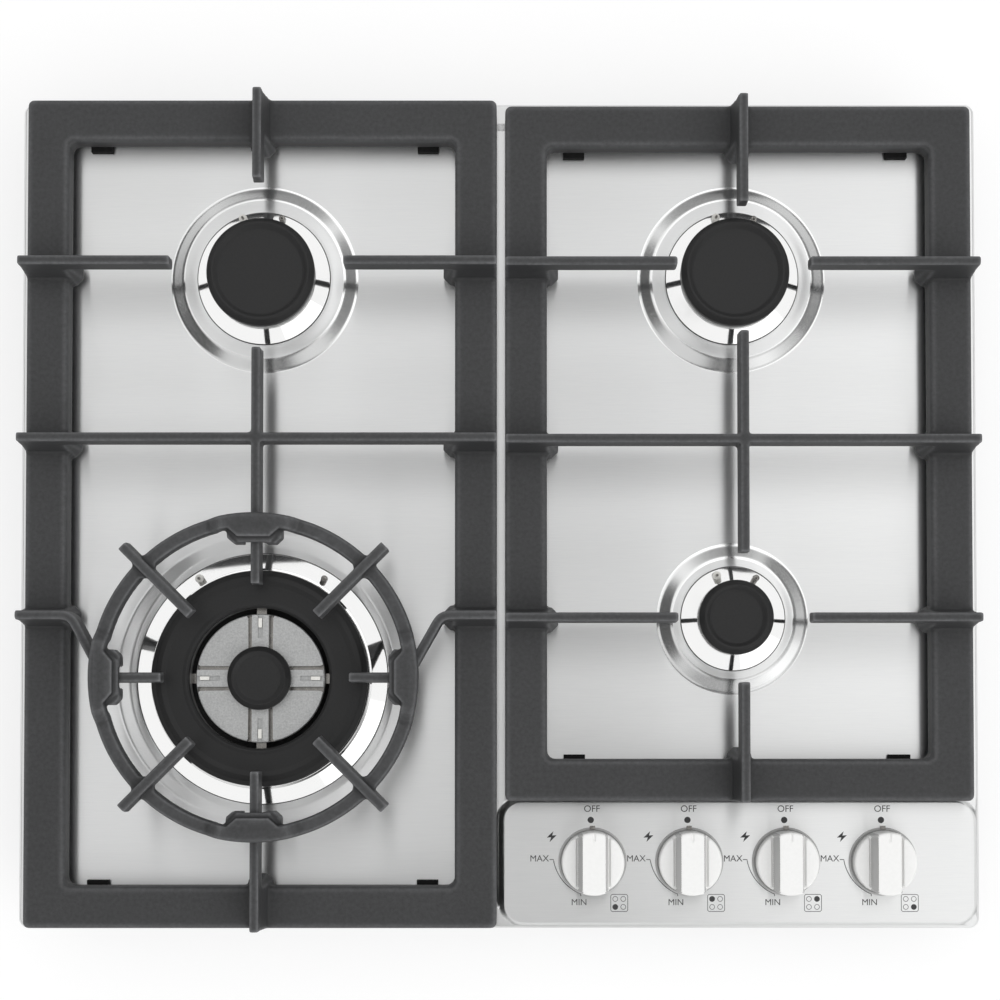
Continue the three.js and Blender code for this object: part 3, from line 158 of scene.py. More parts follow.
def cast_mesh(pieces, voxel, keep_share):
    """Closed solids fused into one casting with soft corners: remeshed, smoothed and thinned out."""
    obj = linked("casting", solid_mesh("casting", *joined(*pieces)))
    remesh = obj.modifiers.new("remesh", "REMESH")
    remesh.mode = "VOXEL"
    remesh.voxel_size = voxel * MM
    smooth = obj.modifiers.new("smooth", "SMOOTH")
    smooth.factor = 0.5
    smooth.iterations = 3
    thin = obj.modifiers.new("thin", "DECIMATE")
    thin.ratio = keep_share
    return baked(obj)


def with_slots(verts, faces, cutters):
    """A turned piece with closed boxes cut out of it by an exact boolean."""
    base = linked("slotted", solid_mesh("slotted", verts, faces, True))
    tool = linked("cutter", solid_mesh("cutter", *joined(*cutters), True))
    cut = base.modifiers.new("cut", "BOOLEAN")
    cut.operation, cut.solver, cut.object = "DIFFERENCE", "EXACT", tool
    cut.use_self = True
    return baked(base, tool)


# ---------------- profiles, loops and solids
def around(x, y, r, angle):
    """The plan point at a radius and an angle in radians round (x, y)."""
    return x + r * cos(angle), y + r * sin(angle)


def circle(x, y, radius, count):
    return [around(x, y, radius, 2 * pi * i / count) for i in range(count)]


def between(a, b, share):
    """The plan point a share of the way from a to b."""
    return a[0] + (b[0] - a[0]) * share, a[1] + (b[1] - a[1]) * share


def rounded(points, closed=True, steps=4):
    """A profile with its corners rounded by arcs."""
    out, count = [], len(points)
    for i, point in enumerate(points):
        here = Vector(point[:2])
        radius = point[2] if len(point) > 2 else 0
        if not radius or (not closed and i in (0, count - 1)):
            out.append((here.x, here.y))
            continue
        before = Vector(points[i - 1][:2]) - here
        after = Vector(points[(i + 1) % count][:2]) - here
        angle = before.angle(after)
        turn = pi - angle
        reach = min(radius / tan(angle / 2), before.length * 0.49, after.length * 0.49)
        start, end = here + before.normalized() * reach, here + after.normalized() * reach
        bend = reach * tan(angle / 2)
        centre = here + (before.normalized() + after.normalized()).normalized() * hypot(bend, reach)
        a, b = start - centre, end - centre
        for k in range(steps + 1):
            share = k / steps
            mixed = a * sin((1 - share) * turn) + b * sin(share * turn)
            mixed /= max(1e-9, sin(turn))
            out.append(tuple(centre + mixed))
    return out


def held(profile, closed, near=0.22):
    """The profile with a point close to each end of its long straights, so they shade flat."""
    out, count = [], len(profile)
    for i, here in enumerate(profile):
        out.append(here)
        if i == count - 1 and not closed:
            break
        after = profile[(i + 1) % count]
        length = dist(here, after)
        if length > 4 * near:
            out += [between(here, after, share) for share in (near / length, 1 - near / length)]
    return out


def turned(profile, segments, x=0.0, y=0.0, closed=True):
    """A profile of (r, z) points turned about a vertical axis: its vertices and faces."""
    profile = held(profile, closed)
    verts, rings = [], []
    for r, z in profile:
        if r < 1e-6:
            rings.append([len(verts)] * segments)
            verts.append((x, y, z))
            continue
        rings.append([len(verts) + i for i in range(segments)])
        verts += [(*point, z) for point in circle(x, y, r, segments)]
    faces = []
    pairs = list(zip(rings, rings[1:])) + ([(rings[-1], rings[0])] if closed else [])
    for low, high in pairs:
        for i in range(segments):
            j = (i + 1) % segments
            face = list(dict.fromkeys((low[i], low[j], high[j], high[i])))
            if len(face) > 2:
                faces.append(face)
    return verts, faces


def joined(*pieces):
    """Several (vertices, faces) lists as one."""
    verts, faces = [], []
    for more_verts, more_faces in pieces:
        start = len(verts)
        verts += more_verts
        faces += [[start + i for i in face] for face in more_faces]
    return verts, faces


def lofted(loops, closed_ring=False):
    """Quads between loops of equally many points, capped at both ends unless they close in a ring."""
    count = len(loops[0])
    verts = [point for loop in loops for point in loop]
    faces = []
    for k in range(len(loops) if closed_ring else len(loops) - 1):
        low, high = k * count, ((k + 1) % len(loops)) * count
        for i in range(count):
            j = (i + 1) % count
            faces.append([low + i, low + j, high + j, high + i])
    if not closed_ring:
        faces.append(list(range(count))[::-1])
        faces.append([(len(loops) - 1) * count + i for i in range(count)])
    return verts, faces


def round_rect(x0, x1, y0, y1, radius, steps=6, spacing=0.0):
    """A rounded rectangle's points, anticlockwise from the front edge, with extra ones on its sides."""
    corners = [(x1 - radius, y0 + radius, -90), (x1 - radius, y1 - radius, 0),
               (x0 + radius, y1 - radius, 90), (x0 + radius, y0 + radius, 180)]
    points = [around(cx, cy, radius, radians(start + 90 * k / steps))
              for cx, cy, start in corners for k in range(steps + 1)]
    if not spacing:
        return points
    out = []
    for i, here in enumerate(points):
        after = points[(i + 1) % len(points)]
        pieces = int(dist(here, after) / spacing)
        out += [here, *(between(here, after, k / pieces) for k in range(1, pieces))]
    return out


def box_distance(x, y, x0, x1, y0, y1, radius):
    """Signed distance to a rounded rectangle, negative inside."""
    dx = abs(x - (x0 + x1) / 2) - (x1 - x0) / 2 + radius
    dy = abs(y - (y0 + y1) / 2) - (y1 - y0) / 2 + radius
    return hypot(max(dx, 0), max(dy, 0)) + min(max(dx, dy), 0) - radius


def ramp(t, soft=0.25):
    """From 0 to 1 in a straight slope with soft ends, each that share of the way."""
    t = min(1.0, max(0.0, t))
    slope = 1 / (1 - soft)
    if t < soft:
        return slope * t * t / (2 * soft)
    if t > 1 - soft:
        return 1 - slope * (1 - t) ** 2 / (2 * soft)
    return slope * (t - soft / 2)


def prism(x, y, outline, z0, z1, degrees):
    """An upright prism from an outline of (along, across) points, turned about the axis (x, y)."""
    c, s = cos(radians(degrees)), sin(radians(degrees))
    return lofted([[(x + u * c - v * s, y + u * s + v * c, z) for u, v in outline] for z in (z0, z1)])


def mirrored(outline, side):
    """An outline on one side of a radius, or on the other and still anticlockwise."""
    return [(u, side * v) for u, v in outline][::side]


def spoke_box(x, y, r0, r1, width, z0, z1, degrees):
    """A box that lies along a radius from the axis (x, y)."""
    half = width / 2
    return prism(x, y, [(r0, -half), (r1, -half), (r1, half), (r0, half)], z0, z1, degrees)


def sheet_plan(boundary, loops, lines=(), holes=(), keep=None):
    """A flat triangulation inside a boundary loop that follows every other loop and line.

    holes are (x, y, radius) circles that stay open. Points of a loop that keep(x, y) refuses are
    left out. Returns the plan's points and faces."""
    points, edges = [], []

    def add(run, closed=True, allowed=None):
        start, count = len(points), len(run)
        inside = [allowed is None or allowed(*p) for p in run]
        for i, point in enumerate(run):
            j = (i + 1) % count
            points.append(point if inside[i] and (inside[i - 1] or inside[j]) else boundary[0])
            if inside[i] and inside[j] and (closed or j):
                edges.append((start + i, start + j))

    add(boundary)
    for loop in loops:
        add(loop, allowed=keep)
    for line in lines:
        add(line, False)
    out, _, faces = geometry.delaunay_2d_cdt([Vector(p) for p in points], edges, [], 1, 1e-4)[:3]
    kept = []
    for face in faces:
        cx = sum(out[i].x for i in face) / len(face)
        cy = sum(out[i].y for i in face) / len(face)
        if not any(hypot(cx - hx, cy - hy) < hr - 0.01 for hx, hy, hr in holes):
            kept.append(list(face))
    return [(p.x, p.y) for p in out], kept


def lifted(points, faces, height):
    """A plan raised to height(x, y): the mesh and its open edges."""
    mesh = bmesh.new()
    top = [mesh.verts.new((x, y, height(x, y))) for x, y in points]
    for face in faces:
        made = mesh.faces.new([top[i] for i in face])
        made.normal_update()
        if made.normal.z < 0:
            made.normal_flip()
    for vert in [v for v in mesh.verts if not v.link_faces]:
        mesh.verts.remove(vert)
    return mesh, [e for e in mesh.edges if len(e.link_faces) == 1]


def edge_steps(degrees):
    """Steps round the edge's quarter circle: how far out, and the height of a vertex there."""
    return [(EDGE_ROUND * sin(a), lambda v, d=EDGE_ROUND * (1 - cos(a)): v.co.z - d)
            for a in map(radians, degrees)]


def stepped(mesh, edges, place, steps):
    """The edges' vertices and a copy of them at each step, moved out by place(v, out)."""
    ring = dict.fromkeys(v for e in edges for v in e.verts)
    layers = [{v: v for v in ring}]
    for out, z in steps:
        layers.append({v: mesh.verts.new((*place(v, out), z(v))) for v in ring})
    return layers


def bridge(mesh, layers, edges):
    """Faces from each layer of the edges to the next."""
    for a, b in zip(layers, layers[1:]):
        for edge in edges:
            v, w = edge.verts
            mesh.faces.new((a[v], a[w], b[w], b[v]))


def to_data(mesh, name):
    data = bpy.data.meshes.new(name)
    mesh.to_mesh(data)
    mesh.free()
    return data


def outward_data(mesh, name):
    """A mesh made in millimetres as data in metres, its faces turned outward."""
    bmesh.ops.recalc_face_normals(mesh, faces=mesh.faces)
    for vert in mesh.verts:
        vert.co *= MM
    return to_data(mesh, name)


def raise_sheet(points, faces, height, thickness, fold, foot):
    """A pressed sheet: the plan lifted to height(x, y), its edge folded down to the foot, and its underside.

    fold(x, y) gives the outward direction at the boundary."""
    mesh, open_edges = lifted(points, faces, height)
    outer = [e for e in open_edges if all(fold(*v.co.xy) is not None for v in e.verts)]

    def place(v, out):
        dx, dy = fold(*v.co.xy)
        return v.co.x + dx * out, v.co.y + dy * out

    steps = edge_steps((15, 30, 45, 60, 75, 90))
    steps += [(EDGE_ROUND, lambda v: foot), (EDGE_ROUND - thickness, lambda v: foot)]
    layers = stepped(mesh, outer, place, steps)
    under = {v: mesh.verts.new((v.co.x, v.co.y, v.co.z - thickness)) for v in mesh.verts[:] if v.link_faces}
    layers.append({v: under[v] for v in layers[0]})
    for face in list(mesh.faces):
        mesh.faces.new([under[v] for v in reversed(face.verts[:])])
    bridge(mesh, layers, outer)
    for edge in open_edges:
        if edge not in outer:
            v, w = edge.verts
            mesh.faces.new((v, w, under[w], under[v]))
    return outward_data(mesh, "sheet")


# ---------------- shader nodes
def put(node, **values):
    """Sets a node's inputs and properties, and links the inputs whose value is another node's output."""
    for key, value in values.items():
        name = key.replace("_", " ")
        if isinstance(value, bpy.types.NodeSocket):
            node.id_data.links.new(value, node.inputs[name])
        elif name in node.inputs:
            node.inputs[name].default_value = value
        else:
            setattr(node, key, value)
    return node


def add_node(beside, kind, **values):
    """A new node in the tree that a node or a socket belongs to, or in a tree itself."""
    return put(beside.id_data.nodes.new("ShaderNode" + kind), **values)


def fill(node, *outputs):
    """Links outputs to a node's first inputs, in their order."""
    for socket, output in zip(node.inputs, outputs):
        node.id_data.links.new(output, socket)
    return node


def shader(name, base, roughness, metallic=0.0, **sockets):
    """A Principled material and its shader node."""
    material = bpy.data.materials.new(name)
    material.use_nodes = True
    return material, put(material.node_tree.nodes["Principled BSDF"], Base_Color=(*base, 1),
                         Roughness=roughness, Metallic=metallic, **sockets)


def remap(socket, low, high, out_low, out_high, kind="SMOOTHSTEP"):
    return add_node(socket, "MapRange", interpolation_type=kind, Value=socket, From_Min=low, From_Max=high,
                    To_Min=out_low, To_Max=out_high).outputs["Result"]


def fade(socket, low, high):
    """From 0 at low to 1 at high."""
    return remap(socket, low, high, 0, 1)


def spread(fac, low, high):
    """A noise's middle half stretched over a range."""
    return remap(fac, 0.25, 0.75, low, high, "LINEAR")


def mix_values(fac, low, high):
    return add_node(fac, "Mix", data_type="FLOAT", Factor=fac, A=low, B=high).outputs["Result"]


def multiplied(first, second):
    return fill(add_node(first, "Math", operation="MULTIPLY"), first, second).outputs[0]


def multiplied_colours(first, second):
    return add_node(first, "Mix", data_type="RGBA", blend_type="MULTIPLY", Factor=1.0, A=first,
                    B=second).outputs["Result"]


def blend_colours(fac, low, high):
    """A colour ramp from low to high over the middle of fac."""
    made = add_node(fac, "ValToRGB", Fac=fac)
    for stop, position, colour in zip(made.color_ramp.elements, (0.3, 0.7), (low, high)):
        stop.position, stop.color = position, (*colour, 1)
    return made.outputs["Color"]


def object_noise(beside, scale, stretch=(1, 1, 1), detail=3.0, roughness=0.6):
    """Noise in object space, stretched by a scale on each axis."""
    where = add_node(beside, "TexCoord").outputs["Object"]
    place = add_node(beside, "Mapping", Scale=stretch, Vector=where).outputs["Vector"]
    return add_node(beside, "TexNoise", Scale=scale, Detail=detail, Roughness=roughness,
                    Vector=place).outputs["Fac"]


def lay_grain(bsdf, grain, gloss, depth, strength, colours=None):
    """Lets a noise drive the roughness, a bump of that depth in millimetres and perhaps the colour."""
    bump = add_node(grain, "Bump", Distance=depth * MM, Strength=strength, Height=grain)
    put(bsdf, Roughness=spread(grain, *gloss), Normal=bump.outputs["Normal"])
    if colours:
        put(bsdf, Base_Color=blend_colours(grain, *colours))


# ---------------- materials
def brushed_steel():
    """The deck: fine brushing along u of the plan map, under broad changes of tone."""
    material, bsdf = shader("brushed_steel", (0.80, 0.80, 0.795), 0.3, 1.0, Anisotropic=1.0,
                            Anisotropic_Rotation=0.25)
    grain = object_noise(bsdf, 1.0, (70, 5200, 900), 2.0)
    tone = object_noise(bsdf, 3.0, (1.2, 0.8, 1.0), 2.0)
    colour = multiplied_colours(blend_colours(grain, (0.855, 0.86, 0.86), (0.90, 0.905, 0.90)),
                                blend_colours(tone, (0.965, 0.965, 0.967), (1.0, 1.0, 0.998)))
    tangent = add_node(bsdf, "Tangent", direction_type="UV_MAP")
    put(bsdf, Base_Color=colour, Tangent=tangent.outputs["Tangent"])
    lay_grain(bsdf, grain, (0.28, 0.33), 0.008, 0.6)
    return material


def polished_steel():
    """The burners' cones: a mirror with a slight haze."""
    material, bsdf = shader("polished_steel", (0.95, 0.95, 0.945), 0.06, 1.0)
    put(bsdf, Roughness=spread(object_noise(bsdf, 60, detail=4.0), 0.04, 0.09))
    return material


def cast_iron():
    """The grates: matt black, with a painted highlight on convex edges and painted shade in their corners.
    """
    material, bsdf = shader("cast_iron", (0.055, 0.057, 0.058), 0.55, Specular_IOR_Level=0.36)
    grain, tone = object_noise(bsdf, 420, roughness=0.65), object_noise(bsdf, 22)
    colour = multiplied_colours(blend_colours(grain, (0.034, 0.0345, 0.0355), (0.050, 0.0508, 0.0525)),
                                blend_colours(tone, (0.93, 0.93, 0.93), (1.05, 1.05, 1.05)))
    # Painted light: pointiness makes convex edges paler as a painted highlight and corners darker as painted
    # shade.
    edges = add_node(bsdf, "ValToRGB", Fac=add_node(bsdf, "NewGeometry").outputs["Pointiness"])
    corner, ridge = edges.color_ramp.elements
    corner.position, corner.color = 0.45, (0.35, 0.35, 0.35, 1)
    ridge.position, ridge.color = 0.57, (4.0, 4.0, 4.0, 1)
    edges.color_ramp.elements.new(0.5).color = (1, 1, 1, 1)
    put(bsdf, Base_Color=multiplied_colours(colour, edges.outputs["Color"]))
    lay_grain(bsdf, grain, (0.48, 0.62), 0.16, 0.55)
    return material


def cap_enamel():
    """The burner caps: smooth black enamel."""
    material, bsdf = shader("cap_enamel", (0.017, 0.017, 0.0175), 0.42, Specular_IOR_Level=0.35)
    lay_grain(bsdf, object_noise(bsdf, 700, detail=2.0), (0.38, 0.48), 0.04, 0.4,
              ((0.012, 0.012, 0.0123), (0.016, 0.016, 0.0163)))
    return material


def cast_aluminium():
    """The crowns: rough grey castings."""
    material, bsdf = shader("cast_aluminium", (0.42, 0.43, 0.43), 0.5, 0.7)
    lay_grain(bsdf, object_noise(bsdf, 900, roughness=0.7), (0.35, 0.55), 0.12, 0.6,
              ((0.40, 0.405, 0.405), (0.60, 0.605, 0.60)))
    return material


def finish(name, low, high, roughness, metallic=0.0, scale=300, bump=0.05, specular=0.5):
    """A plain finish with a little grain in its colour, gloss and surface."""
    material, bsdf = shader(name, high, roughness, metallic, Specular_IOR_Level=specular)
    gloss = (roughness * 0.85, min(1.0, roughness * 1.15))
    lay_grain(bsdf, object_noise(bsdf, scale), gloss, bump, 0.5, (low, high))
    return material


STEEL = brushed_steel()
PRESSED = finish("pressed_steel", (0.85, 0.855, 0.855), (0.88, 0.885, 0.88), 0.17, 1.0, 600, 0.0003)
POLISHED = polished_steel()
IRON = cast_iron()
ENAMEL = cap_enamel()
ALUMINIUM = cast_aluminium()
BRASS = finish("brass", (0.42, 0.30, 0.13), (0.55, 0.42, 0.20), 0.35, 1.0)
# Dark steel for the rods' tips and the pointers, and painted shade on the triple crown's groove floors.
DARK_STEEL_AND_SHADE = finish("dark_steel_and_groove_shade", (0.22, 0.21, 0.20), (0.34, 0.33, 0.31), 0.25, 1.0)
KNOB_WHITE = finish("knob_white", (0.88, 0.88, 0.87), (0.91, 0.91, 0.90), 0.4, 0.0, 500, 0.012)
ZINC = finish("galvanised_steel", (0.40, 0.42, 0.43), (0.56, 0.58, 0.59), 0.45, 1.0, 35, 0.02)
RUBBER = finish("black_rubber", (0.008, 0.008, 0.008), (0.014, 0.014, 0.014), 0.7, 0.0, 600, 0.05, 0.1)
FOAM = finish("foam_rubber", (0.02, 0.021, 0.021), (0.035, 0.036, 0.036), 0.9, 0.0, 900, 0.25)
CERAMIC = finish("white_ceramic", (0.78, 0.77, 0.73), (0.85, 0.84, 0.80), 0.2, 0.0, 200, 0.01)
COPPER = finish("copper_tube", (0.48, 0.20, 0.11), (0.60, 0.28, 0.17), 0.35, 1.0, 150, 0.02)
# Painted shade: the grey of a collar round each knob, standing for the shadow gap round the knob.
KNOB_SHADOW_GREY = finish("knob_shadow_grey", (0.40, 0.40, 0.397), (0.45, 0.45, 0.447), 0.5, 0.0, 500, 0.02)
# Painted shade: a greyer white for the feet of the knobs' grooves.
GROOVE_SHADE = finish("knob_groove_shade", (0.54, 0.54, 0.535), (0.58, 0.58, 0.575), 0.5, 0.0, 500, 0.01)
# Painted shade: a dark finish for the cups' insides, the skirts' feet and the rods' feet, where shadow
# falls.
PAINTED_SHADE_DARK = finish("painted_shade_dark", (0.045, 0.045, 0.045), (0.08, 0.08, 0.08), 0.6, 0.6, 500, 0.03)
PLASTIC = finish("igniter_plastic", (0.72, 0.71, 0.68), (0.79, 0.78, 0.75), 0.5, 0.0, 400, 0.03)
INK = finish("print_ink", (0.030, 0.030, 0.031), (0.042, 0.042, 0.043), 0.6, 0.0, 800, 0.005)


# ---------------- deck
DECK_FOOT = DECK_LO.z
DECK_CORNER = 6.0
SHEET = 1.2
RIM_FLAT = 12.0
DISH_SLOPE = 4.0
BOSS_SHOULDER = 9.0
BOSS_SHARE = 0.3
PANEL_LEFT = 3.2
PANEL_BACK = -178.1
PANEL_MARGIN = 4.0
PANEL_SLOPE = 3.6
PANEL_CORNER = 11.0
# the slope's width down to the floor and down to the rim, and how far out it can matter, as shares of it
SLOPE_TO_FLOOR = 1.15
SLOPE_TO_RIM = 0.86
PANEL_REACH = 1.6
SPINDLE_HOLE = 5.5
NECK_INSET = 1.6
# insets of the plan's loops round the rim, and their distances out from the panel's flat top
RIM_LOOPS = (4, 8, 11.5, 12, 12.6, 13.3, 14, 14.7, 15.4, 16, 16.6, 19)
PANEL_LOOPS = (-4, -1.2, -0.3, 0, 0.35, 0.7, 1.05, 1.4, 1.75, 2.1, 2.45, 2.8, 3.15, 3.5, 3.85, 4.2, 5.2)


def panel_distance(x, y):
    """Distance outside the control panel's flat top, negative on it."""
    return box_distance(x, y, PANEL_LEFT, DECK_HI.x - PANEL_MARGIN, DECK_LO.y + PANEL_MARGIN, PANEL_BACK,
                        PANEL_CORNER)


def edge_inset(x, y):
    """How far a point lies in from the deck's edge."""
    return -box_distance(x, y, DECK_LO.x, DECK_HI.x, DECK_LO.y, DECK_HI.y, DECK_CORNER)


def boss_shoulder(name):
    """Width of a boss's gentle shoulder, inside its slope."""
    _, skirt, inner, _ = BURNERS[name]
    return min(BOSS_SHOULDER, inner - skirt - 0.6)


def boss_rise(name, x, y):
    """From 1 on a boss's top to 0 at its foot: a gentle shoulder, then a steeper slope."""
    _, _, inner, width = BURNERS[name]
    shoulder = boss_shoulder(name)
    share = BOSS_SHARE * shoulder / BOSS_SHOULDER
    out = dist((x, y), BURNER_AXES[name]) - inner
    if out > width:
        return 0.0
    gentle = share * (1 - ramp((out + shoulder) / (shoulder + 1.0), 0.3))
    return gentle + (1 - share) * (1 - ramp(out / width, 0.2))


def deck_height(x, y):
    """The deck's upper surface: rim, lower floor, bosses round the burners and raised panel."""
    inset = edge_inset(x, y)
    dish = RIM_TOP - (RIM_TOP - FLOOR) * ramp((inset - RIM_FLAT) / DISH_SLOPE, 0.35)
    for name in BURNERS:
        rise = boss_rise(name, x, y)
        dish = max(dish, FLOOR + (BOSS_TOP - FLOOR) * rise) if rise else dish
    out = panel_distance(x, y)
    if out > PANEL_SLOPE * PANEL_REACH:
        return dish
    low, slope = (FLOOR, SLOPE_TO_FLOOR) if inset > RIM_FLAT else (RIM_TOP, SLOPE_TO_RIM)
    soft = 0.12 if x < PANEL_LEFT else 0.3
    return max(dish, PANEL_TOP - (PANEL_TOP - low) * ramp(out / (PANEL_SLOPE * slope), soft))


def loop_inset(inset):
    """The deck's outline, moved in."""
    radius = max(0.8, DECK_CORNER - inset) if inset < DECK_CORNER else 1.2
    return round_rect(DECK_LO.x + inset, DECK_HI.x - inset, DECK_LO.y + inset, DECK_HI.y - inset,
                      radius, 8, 24.0)


def deck_fold(x, y):
    """Outward direction at the deck's folded edge, or None away from it."""
    if abs(edge_inset(x, y) - EDGE_ROUND) > 0.05:
        return None
    step = 0.01
    dx = edge_inset(x - step, y) - edge_inset(x + step, y)
    dy = edge_inset(x, y - step) - edge_inset(x, y + step)
    length = hypot(dx, dy)
    return dx / length, dy / length


def boss_loops(name):
    """The plan's circles round a burner: its hole, and the rings that its boss needs."""
    cap, _, inner, width = BURNERS[name]
    shoulder = boss_shoulder(name)
    gentle = [inner - shoulder + shoulder * k / 8 for k in range(8)]
    steep = [inner + width * k / 14 for k in range(15)]
    radii = (cap - NECK_INSET, inner - shoulder - 0.5, *gentle, *steep, inner + width + 0.7)
    return [circle(*BURNER_AXES[name], r, 160 if name == "triple" else 112) for r in radii]


def make_deck():
    loops = [loop_inset(inset) for inset in RIM_LOOPS]
    for out in PANEL_LOOPS:
        loops.append(round_rect(PANEL_LEFT - out, DECK_HI.x - PANEL_MARGIN + out,
                                DECK_LO.y + PANEL_MARGIN - out, PANEL_BACK + out,
                                PANEL_CORNER + out, 12, 9.0))
    holes = [(*BURNER_AXES[name], BURNERS[name][0] - NECK_INSET) for name in BURNERS]
    for name in BURNERS:
        loops += boss_loops(name)
    for x, y in KNOB_AXES:
        holes.append((x, y, SPINDLE_HOLE))
        loops.append(circle(x, y, SPINDLE_HOLE, 24))
    points, faces = sheet_plan(loop_inset(EDGE_ROUND), loops, holes=holes,
                               keep=lambda x, y: edge_inset(x, y) > EDGE_ROUND + 0.25)
    data = raise_sheet(points, faces, deck_height, SHEET, deck_fold, DECK_FOOT)
    deck = finish_mesh(data, "deck", STEEL, "root", ["deck_plate"], 40)
    paint(deck, PRESSED, lambda centre: on_boss_slope(centre.x, centre.y))
    give_plan_uv(deck)


def on_boss_slope(x, y):
    """Where the press has drawn the steel smooth round the three plain burners."""
    for name, (_, _, inner, width) in BURNERS.items():
        if name != "triple" and 0 < dist((x, y), BURNER_AXES[name]) - inner < width:
            return True
    return False


def give_plan_uv(obj):
    """A plan-view UV map in metres: the brushing runs along u."""
    layer = obj.data.uv_layers.new(name="plan")
    for loop in obj.data.loops:
        co = obj.data.vertices[loop.vertex_index].co
        layer.data[loop.index].uv = (co.x, co.y)


# ---------------- grates
FRAME_BOTTOM = 55.0
FRAME_BAR = 25.5
FRAME_WALL = 4.2
OUTER_BEVEL = 1.2
INNER_BEVEL = 1.8
RIB_DEPTH = 13.0
RIB_TOP = 5.3
RIB_BASE = 6.5
ROOT_HALF = 8.0
ROOT_FOOT = 57.0
ROOT_RISE = 30.0
ROOT_NOSE = 6.0
ROOT_STEPS = 12
# how far from a burner's axis the tips of the ribs end, and where the cranked ribs bend
LEFT_REACH = 52.0
RIGHT_REACH = 39.8
TRIPLE_REACH = 56.0
CRANK_START = 33.0
CRANK_END = 90.0
CRANK_ROUND = 9


def frame_solid(x0, x1, y0, y1):
    """The grate's frame: a channel open below, swept round a rounded rectangle."""
    inner, low, high = FRAME_BAR - FRAME_WALL, FRAME_BOTTOM, FRAME_TOP - FRAME_WALL
    section = [
        (0, low), (0, FRAME_TOP - OUTER_BEVEL), (OUTER_BEVEL, FRAME_TOP),
        (FRAME_BAR - INNER_BEVEL, FRAME_TOP), (FRAME_BAR, FRAME_TOP - INNER_BEVEL), (FRAME_BAR, low),
        (inner, low), (inner, high), (FRAME_WALL, high), (FRAME_WALL, low),
    ]
    loops = []
    for inset, z in section:
        radius = 3.5 + 1.5 * inset / FRAME_BAR
        plan = round_rect(x0 + inset, x1 - inset, y0 + inset, y1 - inset, radius, 5)
        loops.append([(x, y, z) for x, y in plan])
    return lofted(loops, True)


def rib(points, top=RIBS_TOP, depth=RIB_DEPTH, top_width=RIB_TOP, base_width=RIB_BASE):
    """A rib along a plan route, its section wider at its base and mitred at each bend."""
    section = [(-base_width / 2, top - depth), (base_width / 2, top - depth),
               (top_width / 2, top), (-top_width / 2, top)]
    loops = []
    for i, point in enumerate(points):
        before, after = Vector(points[max(0, i - 1)]), Vector(points[min(len(points) - 1, i + 1)])
        along = (after - before).normalized()
        across = Vector((along.y, -along.x))
        loops.append([(*(Vector(point) + across * s), z) for s, z in section])
    return lofted(loops)


def root_solid(x, y, dx, dy):
    """A rib's root on a frame bar: a wedge, widest at the bar's foot, with a nose inside the bar."""
    loops = []
    for k in range(ROOT_STEPS + 1):
        z = ROOT_FOOT + (RIBS_TOP - ROOT_FOOT) * k / ROOT_STEPS
        taper = (1 - min(1.0, (z - ROOT_FOOT) / ROOT_RISE)) ** 1.5
        neck = RIB_BASE / 2 - (RIB_BASE - RIB_TOP) / 2 * max(0, z - FRAME_TOP) / (RIBS_TOP - FRAME_TOP)
        half = neck + (ROOT_HALF - RIB_BASE / 2) * taper
        reach = FRAME_BAR + 1.5 + ROOT_NOSE * taper
        corner = half * 0.55
        plan = ((0.0, -half), (reach - corner, -half), (reach, -half + corner),
                (reach, half - corner), (reach - corner, half), (0.0, half))
        loops.append([(x + dx * along - dy * side, y + dy * along + dx * side, z) for along, side in plan])
    return lofted(loops)


def side_ribs(box, y, left_tip, right_tip):
    return [root_solid(box["x0"], y, 1, 0), rib([(box["x0"], y), (left_tip, y)]),
            root_solid(box["x1"], y, -1, 0), rib([(box["x1"], y), (right_tip, y)])]


def end_rib(box, x, tip, back):
    edge, way = (box["y1"], -1) if back else (box["y0"], 1)
    return [root_solid(x, edge, 0, way), rib([(x, edge), (x, tip)])]


def cranked_rib(edge, way, y):
    """A rib from the frame that bends towards the triple burner's axis."""
    route = [(edge, y), (edge + way * CRANK_START, y, CRANK_ROUND),
             (TRIPLE_X - way * CRANK_END, TRIPLE_Y, CRANK_ROUND), (TRIPLE_X - way * TRIPLE_REACH, TRIPLE_Y)]
    return [root_solid(edge, y, way, 0), rib(rounded(route, False, 6))]


def plan_box(node):
    lo, hi = node_box(node)
    return {"x0": lo.x, "x1": hi.x, "y0": lo.y, "y1": hi.y}


def make_left_grate():
    box = plan_box("grate_left")
    x, y = BURNER_AXES["back_left"]
    back, front = y + 2.3, BURNER_AXES["front_right"][1] + 0.2
    ribs = [
        *end_rib(box, x, y + LEFT_REACH, True), *end_rib(box, x, TRIPLE_Y - TRIPLE_REACH, False),
        *side_ribs(box, back, x - LEFT_REACH, x + LEFT_REACH),
        *side_ribs(box, (back + front) / 2, x + 1, x - 1),
        rib([(x, y - LEFT_REACH + 2), (x, TRIPLE_Y + TRIPLE_REACH)]),
        *cranked_rib(box["x0"], 1, front), *cranked_rib(box["x1"], -1, front),
    ]
    cast_grate("left_grate_casting", "grate_left", box, ribs)


def make_right_grate():
    box = plan_box("grate_right")
    x, y = BURNER_AXES["back_right"]
    x += 2.8
    front_y = BURNER_AXES["front_right"][1]
    back, front = y + 1.8, front_y - 1
    tips = (x - RIGHT_REACH, x + RIGHT_REACH)
    ribs = [
        *end_rib(box, x, y + RIGHT_REACH - 2, True), *end_rib(box, x, front_y - RIGHT_REACH, False),
        *side_ribs(box, back, *tips), *side_ribs(box, (back + front) / 2, x + 1, x - 1),
        *side_ribs(box, front, *tips),
        rib([(x, y - RIGHT_REACH), (x, front_y + RIGHT_REACH - 2)]),
    ]
    cast_grate("right_grate_casting", "grate_right", box, ribs)


def cast_grate(name, node, box, ribs):
    data = cast_mesh([frame_solid(**box), *ribs], 0.9, 0.4)
    finish_mesh(data, name, IRON, f"{node}_body", [node], 0)


